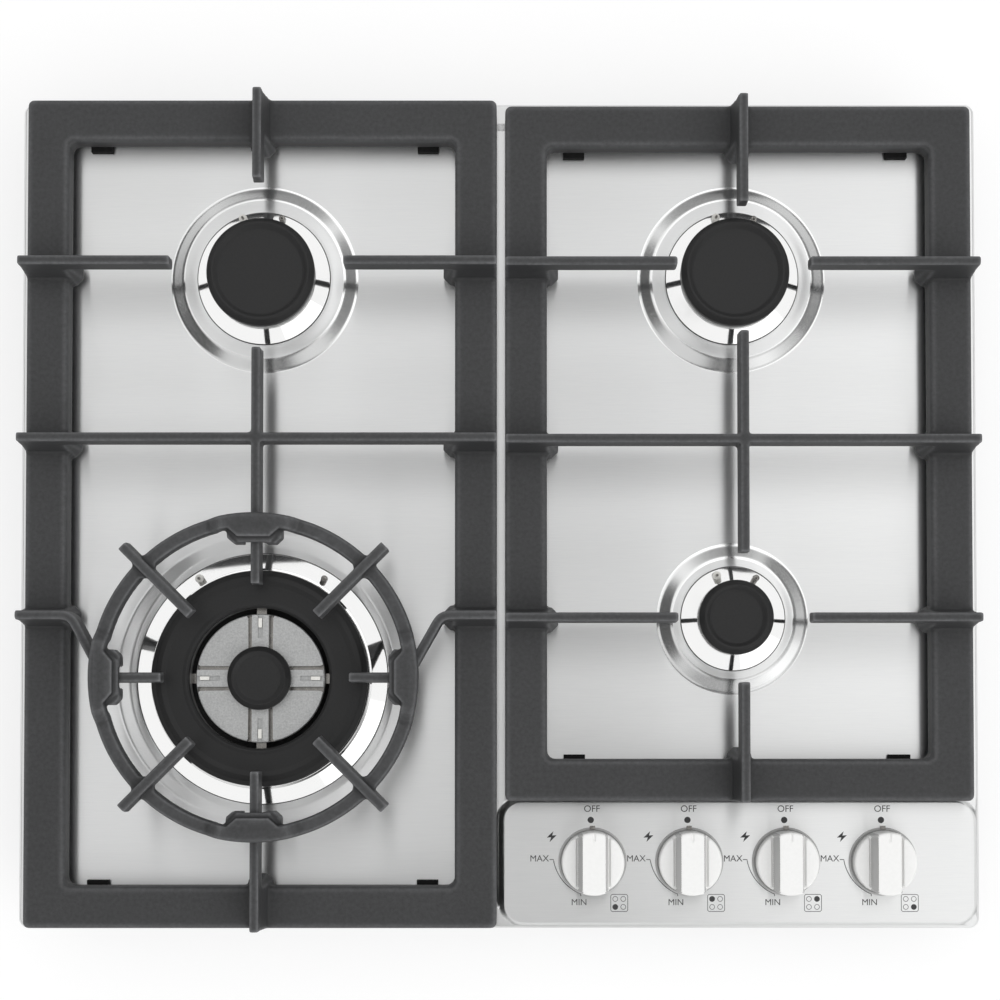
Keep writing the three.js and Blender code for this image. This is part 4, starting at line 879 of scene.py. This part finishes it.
# ---------------- wok ring
BAND_INNER = 89.0
BAND_OUTER = 97.8
BAND_DRAFT = 0.9
BAND_STEPS = 300
BAND_LOW, BAND_HIGH = RIBS_TOP - 5, RIBS_TOP + 4
SADDLE_CLEAR, SADDLE_TOP = RIBS_TOP + 0.35, RIBS_TOP + 9
SADDLE_INNER = 83.2
LEDGE_INNER = 80.2
SADDLE_HALF = 9.5
SADDLE_WIDE = 19.5
# degrees from a saddle's middle to where the band falls, how many the fall takes, and its softness
TOP_FALL = (12.4, 4.6, 0.15)
UNDER_FALL = (12.6, 1.8, 0.3)
# a saddle's hanging tab and a finger's fillet, as (along, across) points on one side of the radius
TAB = ((79.6, 6.4), (79.6, 12.6), (83.0, 16.5), (90, 16.5), (90, 6.4))
WEB = ((84.5, 0), (90, 7.5), (96.5, 7.0), (100.5, 0))
# the diagonal fingers: inner and outer end, depth, width at the top and at the base
FINGER = (52.6, 110, 11, 5.7, 7.5)


def ring_plate(outline, z0, z1, at):
    """An upright prism turned round the ring's axis."""
    return prism(*TRIPLE_AXIS, outline, z0, z1, at)


def ring_band():
    """The band, swept round with its height, underside and inner edge changing at the saddles."""
    band = []
    for k in range(BAND_STEPS):
        a = 360 * k / BAND_STEPS
        off = abs((a + 45) % 90 - 45)
        z0, z1 = [low + (high - low) * (1 - ramp((off - start) / width, soft))
                  for low, high, (start, width, soft) in (
                      (BAND_LOW, SADDLE_CLEAR, UNDER_FALL), (BAND_HIGH, SADDLE_TOP, TOP_FALL))]
        section = [(BAND_INNER, z0), (BAND_OUTER, z0), (BAND_OUTER, z1 - 2.2),
                   (BAND_OUTER - BAND_DRAFT, z1), (BAND_INNER + BAND_DRAFT, z1), (BAND_INNER, z1 - 2.2)]
        band.append([(*around(*TRIPLE_AXIS, r, radians(a)), z) for r, z in section])
    return lofted(band, True)


def saddle_plan(inner, outer):
    return [(inner, -SADDLE_HALF), (outer, -SADDLE_WIDE), (outer, SADDLE_WIDE), (inner, SADDLE_HALF)]


def make_wok_ring():
    """A band that climbs over the grate's fingers in four flat-topped saddles."""
    pieces = [ring_band()]
    saddle, ledge = saddle_plan(SADDLE_INNER, BAND_INNER + 3), saddle_plan(LEDGE_INNER, BAND_INNER + 2)
    for at in QUARTERS:
        pieces.append(ring_plate(saddle, SADDLE_CLEAR, SADDLE_TOP, at))
        pieces.append(ring_plate(ledge, SADDLE_CLEAR, SADDLE_TOP - 4.5, at))
        for side in (-1, 1):
            pieces.append(ring_plate(mirrored(TAB, side), RIBS_TOP - 9, SADDLE_CLEAR + 2.5, at))
    inner, outer, depth, top_width, base_width = FINGER
    for at in QUARTERS:
        ends = [around(*TRIPLE_AXIS, r, radians(at + 45)) for r in (inner, outer)]
        pieces.append(rib(ends, SADDLE_TOP, depth, top_width, base_width))
        for side in (-1, 1):
            pieces.append(ring_plate(mirrored(WEB, side), BAND_HIGH - 6, BAND_HIGH - 0.3, at + 45))
    data = cast_mesh(pieces, 0.8, 0.35)
    finish_mesh(data, "wok_ring_casting", IRON, "wok_ring_body", ["wok_ring"], 0)


# ---------------- burners
CONE = 29.3
PORT_WIDTH = 1.8


def make_cup(name):
    """A burner's cup: its throat, and the polished cone that lies on the boss."""
    cap, skirt, _, _ = BURNERS[name]
    x, y = BURNER_AXES[name]
    bottom = node_box(f"{name}_cup")[0].z
    neck = cap - 2
    throat = 18 if name == "triple" else 9
    seat = BOSS_TOP + 0.3
    foot = seat + 0.5
    slope = tan(radians(CONE))
    reach = min(skirt - cap + 1.0, (CUP_RIM - 0.6 - foot) / slope)
    lip = skirt + 0.4 - reach
    edge = min(lip - 0.3, cap + 0.5)
    profile = rounded([
        (throat + 5, bottom, 0.8), (throat + 5, bottom + 12, 1), (neck, bottom + 22, 1.5), (neck, seat),
        (skirt + 0.9, seat), (skirt + 0.9, seat + 0.15), (skirt + 0.4, seat + 0.15),
        (skirt + 0.4, foot, 0.2), (lip, foot + reach * slope, 0.3),
        (edge + 0.3, foot + reach * slope + 0.1, 0.1), (edge, CUP_RIM, 0.2), (edge - 0.8, CUP_RIM, 0.3),
        (neck - 2, CUP_RIM - 3, 1), (neck - 2, bottom + 26, 1), (throat, bottom + 17, 1),
        (throat, bottom + 4, 0.5), (0, bottom + 4), (0, bottom),
    ], False, 4)
    piece = turned(profile, 160 if name == "triple" else 120, x, y)
    cup = new_object(f"{name}_skirt", *piece, POLISHED, "root", [f"{name}_cup"], "polished_steel", 28)
    # Painted shade: the cup's inside and the thin step at the skirt's foot take the dark finish.
    paint(cup, PAINTED_SHADE_DARK, lambda centre: not edge - 0.4 < dist(centre.xy, (x, y)) < skirt + 0.38)


def port_boxes(x, y, r0, r1, z0, z1, count):
    """Cutters for a ring of flame ports."""
    return [spoke_box(x, y, r0, r1, PORT_WIDTH, z0, z1, 360 * (k + 0.5) / count) for k in range(count)]


def make_crown(name):
    """A plain burner's crown: a cup with flame ports in its wall, on a spigot."""
    cap = BURNERS[name][0]
    x, y = BURNER_AXES[name]
    base, wall, spigot = CROWN_BASE, cap - 1.6, cap - 5.6
    profile = rounded([
        (6, base - 11), (8.5, base - 11, 0.4), (8.5, base - 5, 1), (spigot, base - 3, 0.8), (spigot, base),
        (cap - 0.9, base, 0.2), (cap - 0.9, base + 1.5, 0.5), (wall, base + 1.5, 0.4),
        (wall, CROWN_TOP, 0.4), (wall - 4.1, CROWN_TOP, 0.3), (wall - 4.1, base + 1, 1),
        (8.5, base + 2, 0.5), (6, base + 2),
    ], True, 3)
    ports = port_boxes(x, y, wall - 5.2, wall + 1, CROWN_TOP - 3.2, CROWN_TOP + 1, 24 if cap > 30 else 18)
    data = with_slots(*turned(profile, 120, x, y), ports)
    finish_mesh(data, f"{name}_crown_casting", ALUMINIUM, f"{name}_crown_body", [f"{name}_crown"],
                30)


def make_cap(piece, radius, x, y, node, locator, edge=4.9, recess=2.3):
    """An enamelled cap with a rounded edge and a shallow dish."""
    lo, hi = node_box(node)
    seat, top = lo.z + 1.5, hi.z
    profile = rounded([
        (0, seat - 1.5), (locator, seat - 1.5, 0.3), (locator, seat, 0.2), (radius, seat, 0.5),
        (radius, top - 3.2, 2.2), (radius - 3.1, top, 2.0), (radius - edge + 0.4, top - 0.15, 1.2),
        (radius - edge - 1.9, top - recess, 1.6), (0, top - recess + 0.1),
    ], False, 6)
    new_object(piece, *turned(profile, 144, x, y), ENAMEL, f"{node}_body", [node], "black_enamel", 50)


def make_rod(name, kind):
    """An electrode or a flame sensor standing through the skirt."""
    node = f"{name}_{kind}"
    lo, hi = node_box(node)
    foot = lo.z + 15.2
    shaft = 2.6 if kind == "electrode" else 2.0
    shaft_top = min(CUP_RIM + 2.4, hi.z - 3.5)
    profile = rounded([
        (0, lo.z), (2.1, lo.z, 0.3), (2.1, lo.z + 11), (3.3, lo.z + 12, 0.3), (3.3, foot - 0.1, 0.3),
        (shaft, foot, 0.1), (shaft, shaft_top, 0.6), (0.8, shaft_top + 0.1), (0.8, hi.z - 0.5, 0.4),
        (0, hi.z),
    ], False, 4)
    material, slot = (CERAMIC, "white_ceramic") if kind == "electrode" else (DARK_STEEL_AND_SHADE, "brass")
    rod = new_object(f"{node}_rod", *turned(profile, 32, *axis_of(node)), material, "root", [node], slot, 35)
    paint(rod, DARK_STEEL_AND_SHADE, lambda centre: centre.z > shaft_top + 0.2)
    # Painted shade on the rod's foot, for the shadow gap round it; the triple's flame sensor has a brass
    # foot there.
    paint(rod, BRASS if node == "triple_flame_sensor" else PAINTED_SHADE_DARK, lambda centre: centre.z < foot + 0.02)


def make_triple():
    """The triple burner's caps and crown."""
    lo, hi = node_box("triple_outer_cap")
    profile = rounded([
        (42.7, lo.z, 0.3), (65.7, lo.z, 0.6), (65.7, lo.z + 2.8, 1.2), (62.6, hi.z - 0.6, 2.5),
        (59.5, hi.z, 1.5), (56.4, hi.z - 0.35, 1.2), (46.5, hi.z - 0.35, 1.2), (44.2, hi.z, 1.0),
        (42.7, hi.z - 1.4, 0.8),
    ], True, 5)
    new_object("triple_ring_cap", *turned(profile, 192, *TRIPLE_AXIS), ENAMEL, "triple_outer_cap_body",
               ["triple_outer_cap"], "black_enamel", 50)
    make_cap("triple_centre_cap", 19.3, *TRIPLE_AXIS, "triple_inner_cap", 14.8, 4.0, 1.6)
    make_triple_crown()


TRIPLE_FLOOR, TRIPLE_RIM = CROWN_BASE - 4, CROWN_TOP - 2
TRIPLE_PANEL = TRIPLE_RIM - 1.3


def triple_channel():
    """The crown's outer ring, an open channel with flame ports."""
    base, floor, top, wall, spigot = CROWN_BASE, TRIPLE_FLOOR, TRIPLE_RIM, 64.4, 61.2
    channel = turned(rounded([
        (43.1, floor), (spigot, floor, 0.5), (spigot, base), (65.2, base, 0.2), (65.2, base + 1.5, 0.5),
        (wall, base + 1.5, 0.3), (wall, top, 0.4), (wall - 6.5, top, 0.3), (wall - 6.5, floor + 3, 1),
        (46.1, floor + 3, 1), (46.1, top, 0.3), (43.1, top, 0.3),
    ], True, 3), 192, *TRIPLE_AXIS)
    return with_slots(*channel, port_boxes(*TRIPLE_AXIS, wall - 7.6, wall + 1, top - 3, top + 1, 36))


def triple_middle():
    """The crown's round middle, with a groove on both sides of each arm."""
    floor, panel = TRIPLE_FLOOR, TRIPLE_PANEL
    body = turned(rounded([
        (0, floor - 6), (9, floor - 6, 0.5), (9, floor, 1), (37.3, floor, 0.8), (39.3, floor + 3, 1),
        (39.3, panel, 0.7), (18.3, panel, 0.2), (18.3, CROWN_TOP, 0.3), (15.3, CROWN_TOP, 0.3),
        (15.3, panel), (0, panel),
    ], False, 3), 192, *TRIPLE_AXIS)
    groove = ((17.2, 5.2), (38.4, 5.2), (38.4, 8.6), (36.6, 7.6), (17.2, 7.4))
    return with_slots(*body, [prism(*TRIPLE_AXIS, mirrored(groove, side), panel - 5.2, panel + 1, at)
                              for at in QUARTERS for side in (-1, 1)])


def triple_arms():
    """The four arms on the middle, each with a slot along it."""
    def each(*sizes):
        return [spoke_box(*TRIPLE_AXIS, *sizes, at) for at in QUARTERS]

    slots = each(24.5, 39.5, 3.0, TRIPLE_RIM - 2.9, TRIPLE_RIM + 2)
    arms = each(16.0, 38.4, 10.2, TRIPLE_FLOOR + 2, TRIPLE_RIM + 0.4)
    return with_slots(*joined(*arms), slots)


def make_triple_crown():
    """The triple burner's crown: ring, middle, arms, bridges between them, and pale tabs."""
    mesh = bmesh.new()
    for part in (triple_channel(), triple_middle(), triple_arms()):
        mesh.from_mesh(part)
    for at in QUARTERS:
        verts, faces = spoke_box(*TRIPLE_AXIS, 9.5, 46.7, 6.0, TRIPLE_FLOOR + 0.4, TRIPLE_FLOOR + 2.6, at)
        made = [mesh.verts.new(Vector(v) * MM) for v in verts]
        for face in faces:
            mesh.faces.new([made[i] for i in face])
    crown = finish_mesh(to_data(mesh, "triple_crown"), "triple_crown_casting", ALUMINIUM,
                        "triple_crown_body", ["triple_crown"], 30)
    # Painted shade: the crown's groove floors and low middle take a darker metal.
    paint(crown, DARK_STEEL_AND_SHADE, lambda c: c.z < TRIPLE_PANEL - 0.9 and 19 < dist(c.xy, TRIPLE_AXIS) < 38.5)
    tabs = joined(*[spoke_box(*TRIPLE_AXIS, 31.0, 36.6, 2.2, TRIPLE_RIM - 3.2, TRIPLE_RIM + 1.2, at)
                    for at in QUARTERS])
    new_object("triple_crown_tabs", *tabs, CERAMIC, "triple_crown_body", slot="white_ceramic")


# ---------------- knobs
KNOB_AXES = [axis_of(f"knob_{i}") for i in range(1, 5)]
KNOB_BOTTOM = 59.5
KNOB_TOP = 78.5
KNOB_RADIUS = 19.1
KNOB_BAR = 13.6
KNOB_GROOVE = 2.3
KNOB_SHOULDER = 68.2
NOTCH_LENGTH = 6.0
NOTCH_HALF = 1.1


def knob_height(x, y):
    """The knob's upper surface round its own axis: a bar across it, grooves beside it and a notch."""
    side = abs(x)
    beside = side - KNOB_BAR / 2 - KNOB_GROOVE
    low = KNOB_SHOULDER - 2.0 * max(0.0, beside) / (KNOB_RADIUS - KNOB_BAR / 2)
    top = KNOB_TOP - 0.5 * (y / KNOB_RADIUS) ** 2
    z = low + (top - low) * (1 - ramp((side - KNOB_BAR / 2) / KNOB_GROOVE, 0.12))
    foot = abs(beside - 0.2) / 1.3
    z -= 2.2 * max(0.0, 1 - foot * foot)
    if y > KNOB_RADIUS - NOTCH_LENGTH and side < NOTCH_HALF:
        z -= 1.0 * ramp((NOTCH_HALF - side) / 0.6) * ramp((y - KNOB_RADIUS + NOTCH_LENGTH) / 1.0)
    return z


def in_groove_shade(centre):
    """The foot of a groove, where its shade is painted, wider on the left."""
    width = 2.4 if centre.x < 0 else 2.0
    return 0.15 < abs(centre.x) - KNOB_BAR / 2 < width and centre.z > KNOB_SHOULDER - 6


def knob_plan():
    """The knob's plan: circles at its edge, and lines that follow its bar and grooves."""
    edge = KNOB_RADIUS - EDGE_ROUND
    loops = [circle(0, 0, r, 120) for r in (edge - 0.6, KNOB_RADIUS - 4)]
    marks = [KNOB_BAR / 2 + KNOB_GROOVE * k / 10 for k in range(-1, 18)] + [0.2, 0.4, 0.7, 1.1, 5.5]
    lines = []
    for mark in marks:
        reach = sqrt((edge - 0.05) ** 2 - mark ** 2)
        for side in (-1, 1):
            lines.append([(side * mark, -reach + 2 * reach * k / 24) for k in range(25)])
    return sheet_plan(circle(0, 0, edge, 120), loops, lines)


def knob_mesh():
    """The knob: its top sheet, a rounded edge, a slightly drafted wall and a flat underside."""
    mesh, edges = lifted(*knob_plan(), knob_height)

    def place(v, out):
        reach = v.co.xy.length
        scale = (reach + out) / reach
        return v.co.x * scale, v.co.y * scale

    steps = edge_steps((18, 36, 54, 72, 90))
    steps += [(EDGE_ROUND, lambda v: KNOB_BOTTOM + 0.5), (EDGE_ROUND - 0.4, lambda v: KNOB_BOTTOM)]
    layers = stepped(mesh, edges, place, steps)
    bridge(mesh, layers, edges)
    under = mesh.verts.new((0, 0, KNOB_BOTTOM))
    for edge in edges:
        v, w = edge.verts
        mesh.faces.new((layers[-1][v], layers[-1][w], under))
    return outward_data(mesh, "knob")


def make_knob(i, x, y):
    """Knob i, a grey collar under it that is painted shade for the shadow gap round the knob, and the small
    pointer on the panel behind it.
    """
    knob = finish_mesh(knob_mesh(), f"knob_{i}_cap", KNOB_WHITE, f"knob_unit_{i}", [f"knob_{i}"],
                       50)
    # Painted shade in the grooves beside the bar.
    paint(knob, GROOVE_SHADE, in_groove_shade)
    knob.data.transform(Matrix.Translation((x * MM, y * MM, 0)))
    # The collar is painted shade: a grey ring where the knob's shadow gap lies.
    rim, base = KNOB_RADIUS + 0.4, PANEL_TOP
    shadow_collar = rounded([(8, base - 0.2), (rim + 1.4, base - 0.2), (rim + 1.4, base + 0.5, 0.3),
                      (rim + 0.7, base + 1.0, 0.4), (rim, base + 1.0, 0.2), (rim, base + 0.3),
                      (8, base + 0.3)], True, 3)
    new_object(f"knob_{i}_collar", *turned(shadow_collar, 96, x, y), KNOB_SHADOW_GREY, "root", sharp=30)
    nub = spoke_box(x, y, rim + 0.1, rim + 2.4, 3.2, base - 0.2, base + 1.7, 90)
    new_object(f"knob_{i}_pointer", *nub, DARK_STEEL_AND_SHADE, "root")


# ---------------- printed marks
PRINT_LOW = PANEL_TOP + 0.03
PRINT_HEIGHTS = (PRINT_LOW, PRINT_LOW + 0.02)
CAPITALS = 1.38
# all places below are measured from a point near the knob's axis
MARK_SHIFT = (-1.0, 0.7)
DOT = (24.7, 1.95)
# word: place and height of its capitals
WORDS = {"off": (0.7, 31.4, 4.1), "max": (-31.5, 1.0, 3.95), "min": (-7.2, -25.7, 3.9)}
BOLT = ((0.9, 3.3), (-3.2, -0.6), (-0.5, -0.45), (-1.4, -3.3), (2.9, 0.9), (0.2, 0.7))
BOLT_PLACE = (-23.8, 14.5)
ARC_CENTRE, ARC_RADIUS, ARC_START, ARC_END = (4.0, 4.7), 27.2, 188.9, 248
MAP_PLACE, MAP_HALF, MAP_STEP = (17.4, -26.0), 5.2, 2.45
# the burner that each knob serves: left or right, front or back
MAP_SPOTS = {1: (-1, -1), 2: (-1, 1), 3: (1, 1), 4: (1, -1)}


def print_text(name, text, x, y, height):
    """Lettering centred on a point of the panel, with capitals of that height."""
    curve = bpy.data.curves.new(name, "FONT")
    curve.body = text
    curve.align_x, curve.align_y = "CENTER", "CENTER"
    curve.size = height * MM * CAPITALS
    curve.extrude = 0.02 * MM
    curve.materials.append(INK)
    obj = linked(name, curve)
    obj.location = (x * MM, y * MM, PRINT_LOW * MM)
    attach(obj, "root")


def print_plate(name, outline):
    """A flat printed shape from its closed outline."""
    new_object(name, *lofted([[(x, y, z) for x, y in outline] for z in PRINT_HEIGHTS]), INK, "root")


def print_line(name, points, width, closed=False):
    """A printed stroke along a route."""
    count = len(points)
    left, right = [], []
    for i, point in enumerate(points):
        before = Vector(points[i - 1] if i or closed else point)
        after = Vector(points[(i + 1) % count] if i + 1 < count or closed else point)
        along = (after - before).normalized()
        across = Vector((-along.y, along.x)) * width / 2
        left.append(Vector(point) + across)
        right.append(Vector(point) - across)
    verts = [(*p, z) for z in PRINT_HEIGHTS for p in left + right]
    faces = []
    for i in range(count if closed else count - 1):
        j = (i + 1) % count
        a, b, c, d = i, j, count + j, count + i
        up = 2 * count
        faces += [[a, b, c, d], [up + d, up + c, up + b, up + a], [a, up + a, up + b, b],
                  [d, c, up + c, up + d]]
    new_object(name, verts, faces, INK, "root")


def flame_arc(x, y):
    """The line from MAX to MIN, with a short straight at each end."""
    turns = [radians(ARC_START + (ARC_END - ARC_START) * k / 24) for k in range(25)]
    cx, cy = x + ARC_CENTRE[0], y + ARC_CENTRE[1]
    arc = [around(cx, cy, ARC_RADIUS, a) for a in turns]
    return [(arc[0][0] - 2.4, arc[0][1]), *arc, (arc[-1][0] + 0.1, arc[-1][1] - 1.3)]


def print_map(i, cx, cy):
    """The frame with four rings that shows which burner the knob serves."""
    frame_line = round_rect(cx - MAP_HALF, cx + MAP_HALF, cy - MAP_HALF, cy + MAP_HALF, 1.2, 4)
    print_line(f"map_frame_{i}", frame_line, 0.35, True)
    for spot, (u, v) in MAP_SPOTS.items():
        px, py = cx + u * MAP_STEP, cy + v * MAP_STEP
        if spot == i:
            print_plate(f"map_dot_{i}_{spot}", circle(px, py, 1.75, 28))
        else:
            print_line(f"map_ring_{i}_{spot}", circle(px, py, 1.5, 28), 0.32, True)


def print_marks(i, x, y):
    """All marks of knob i, whose axis is (x, y)."""
    x += MARK_SHIFT[0]
    y += MARK_SHIFT[1]
    print_plate(f"off_dot_{i}", circle(x, y + DOT[0], DOT[1], 32))
    for word, (dx, dy, height) in WORDS.items():
        print_text(f"{word}_word_{i}", word.upper(), x + dx, y + dy, height)
    print_plate(f"spark_sign_{i}", [(x + BOLT_PLACE[0] + u, y + BOLT_PLACE[1] + v) for u, v in BOLT])
    print_line(f"flame_arc_{i}", flame_arc(x, y), 0.45)
    print_map(i, x + MAP_PLACE[0], y + MAP_PLACE[1])


# ---------------- carried-over CAD nodes
NODE_MATERIALS = {
    "burner_box": ZINC, "manifold_pipe": ZINC, "clamp": ZINC, "gas_inlet": BRASS, "igniter_module": PLASTIC,
    "rim_gasket": FOAM, "supply_pipe": COPPER, "valve_body": BRASS, "valve_plug": BRASS,
    "valve_spindle": POLISHED,
}


def dress_nodes():
    """Materials, and softened edges, for the CAD nodes that stay."""
    for name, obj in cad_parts.items():
        found = [material for start, material in NODE_MATERIALS.items() if name.startswith(start)]
        if "_foot_" in name:
            found = [RUBBER]
        if not found:
            continue
        obj.data.materials.clear()
        obj.data.materials.append(found[0])
        bevel = obj.modifiers.new("soft_edges", "BEVEL")
        bevel.width = 0.35 * MM
        bevel.segments = 2
        bevel.limit_method = "ANGLE"
        bevel.angle_limit = radians(50)


# ---------------- stage, light and camera
FLOOR_HALF = 4.0
FLOOR_DROP = 0.0003
FLOOR_GLOW = 0.66


def cleared(owner):
    """The node tree of a material or world, emptied."""
    owner.use_nodes = True
    owner.node_tree.nodes.clear()
    return owner.node_tree


def camera_sees(tree, output, seen, others):
    """Lets camera rays meet one shader and all other rays another."""
    rays = add_node(tree, "LightPath").outputs
    mix = fill(add_node(tree, "MixShader"), rays["Is Camera Ray"], others.outputs[0], seen.outputs[0])
    add_node(tree, output, Surface=mix.outputs[0])
    return rays


def make_floor():
    """A grey floor that looks white to the camera, but for the shadows on it."""
    s = FLOOR_HALF
    mesh = bpy.data.meshes.new("floor")
    mesh.from_pydata([(-s, -s, 0), (s, -s, 0), (s, s, 0), (-s, s, 0)], [], [(0, 1, 2, 3)])
    floor = linked("floor", mesh)
    floor.location.z = -FLOOR_DROP
    material = bpy.data.materials.new("floor")
    tree = cleared(material)
    diffuse = add_node(tree, "BsdfDiffuse", Color=(0.8, 0.8, 0.8, 1))
    pale = add_node(tree, "BsdfDiffuse", Color=(0.36, 0.36, 0.36, 1))
    glow = add_node(tree, "Emission", Strength=FLOOR_GLOW)
    lit = fill(add_node(tree, "AddShader"), pale.outputs[0], glow.outputs[0])
    camera_sees(tree, "OutputMaterial", lit, diffuse)
    mesh.materials.append(material)


def plain_sky(x, y, z):
    """How bright matt surfaces find a direction: dim low down, with a soft key at the front right."""
    key = multiplied(fade(x, 0.1, 0.7), fade(y, 0.2, -0.5))
    return mix_values(fade(z, 0.05, 0.65), 0.10, mix_values(key, 1.20, 3.6))


def mirror_sky(x, y):
    """How bright glossy surfaces find a direction: a pale ceiling, dim at its sides and white far out."""
    near_left = mix_values(fade(x, -0.11, 0.0), 0.90, 0.05)
    near_right = remap(y, -0.065, -0.03, 0.92, 1.46)
    near = mix_values(fade(x, 0.02, 0.17), near_left, near_right)
    ceiling = mix_values(fade(y, -0.05, 0.15), near, remap(x, -0.25, 0.0, 1.26, 1.70))
    left = mix_values(fade(x, -0.50, -0.43), 0.08, ceiling)
    corner = multiplied(fade(x, 0.36, 0.48), fade(y, -0.45, -0.2))
    right = mix_values(corner, left, 0.24)
    back = mix_values(fade(y, 0.55, 0.72), right, 0.35)
    front = mix_values(fade(y, -0.58, -0.42), 0.44, back)
    moved = fill(add_node(y, "Math", operation="ADD"), y)
    moved.inputs[1].default_value = -0.08
    flat = add_node(x, "CombineXYZ", X=x, Y=moved.outputs[0])
    away = fill(add_node(flat, "VectorMath", operation="LENGTH"), flat.outputs[0])
    return mix_values(fade(away.outputs["Value"], 0.755, 0.77), front, 1.2)


def make_world():
    """White where the camera looks. Matt and glossy surfaces each find their own studio."""
    world = bpy.data.worlds.new("studio")
    bpy.context.scene.world = world
    tree = cleared(world)
    where = add_node(tree, "TexCoord").outputs["Generated"]
    x, y, z = add_node(tree, "SeparateXYZ", Vector=where).outputs
    sky = add_node(tree, "Background")
    rays = camera_sees(tree, "OutputWorld", add_node(tree, "Background"), sky)
    strength = mix_values(rays["Is Glossy Ray"], plain_sky(x, y, z), mirror_sky(x, y))
    put(sky, Strength=strength)


def make_lamp():
    """A weak, wide lamp at the front right, for soft shadows."""
    data = bpy.data.lights.new("key", "AREA")
    data.shape = "SQUARE"
    data.size = 2.0
    data.energy = 4
    lamp = linked("key", data)
    lamp.location = (1.4, -1.3, 1.5)
    lamp.rotation_euler = (Vector((0, 0, 0.05)) - lamp.location).to_track_quat("-Z", "Y").to_euler()


def make_camera():
    """Nearly straight down from above the front of the deck, as the photograph's view."""
    data = bpy.data.cameras.new("camera")
    data.lens = 67.85
    data.shift_y = 0.17
    camera = linked("camera", data)
    camera.location = (0.0006, -0.129, 1.213)
    camera.rotation_euler = (radians(1.6), 0, 0)
    bpy.context.scene.camera = camera


def main():
    bpy.context.scene.view_settings.view_transform = "Standard"
    make_camera()
    make_floor()
    make_world()
    make_lamp()
    dress_nodes()
    make_deck()
    make_left_grate()
    make_right_grate()
    make_wok_ring()
    for name in BURNERS:
        make_cup(name)
        make_rod(name, "electrode")
        make_rod(name, "flame_sensor")
    for name in ("back_left", "back_right", "front_right"):
        cap = BURNERS[name][0]
        make_crown(name)
        make_cap(f"{name}_lid", cap, *BURNER_AXES[name], f"{name}_cap", cap - 5.0)
    make_triple()
    for i, (x, y) in enumerate(KNOB_AXES, start=1):
        make_knob(i, x, y)
        print_marks(i, x, y)


main()
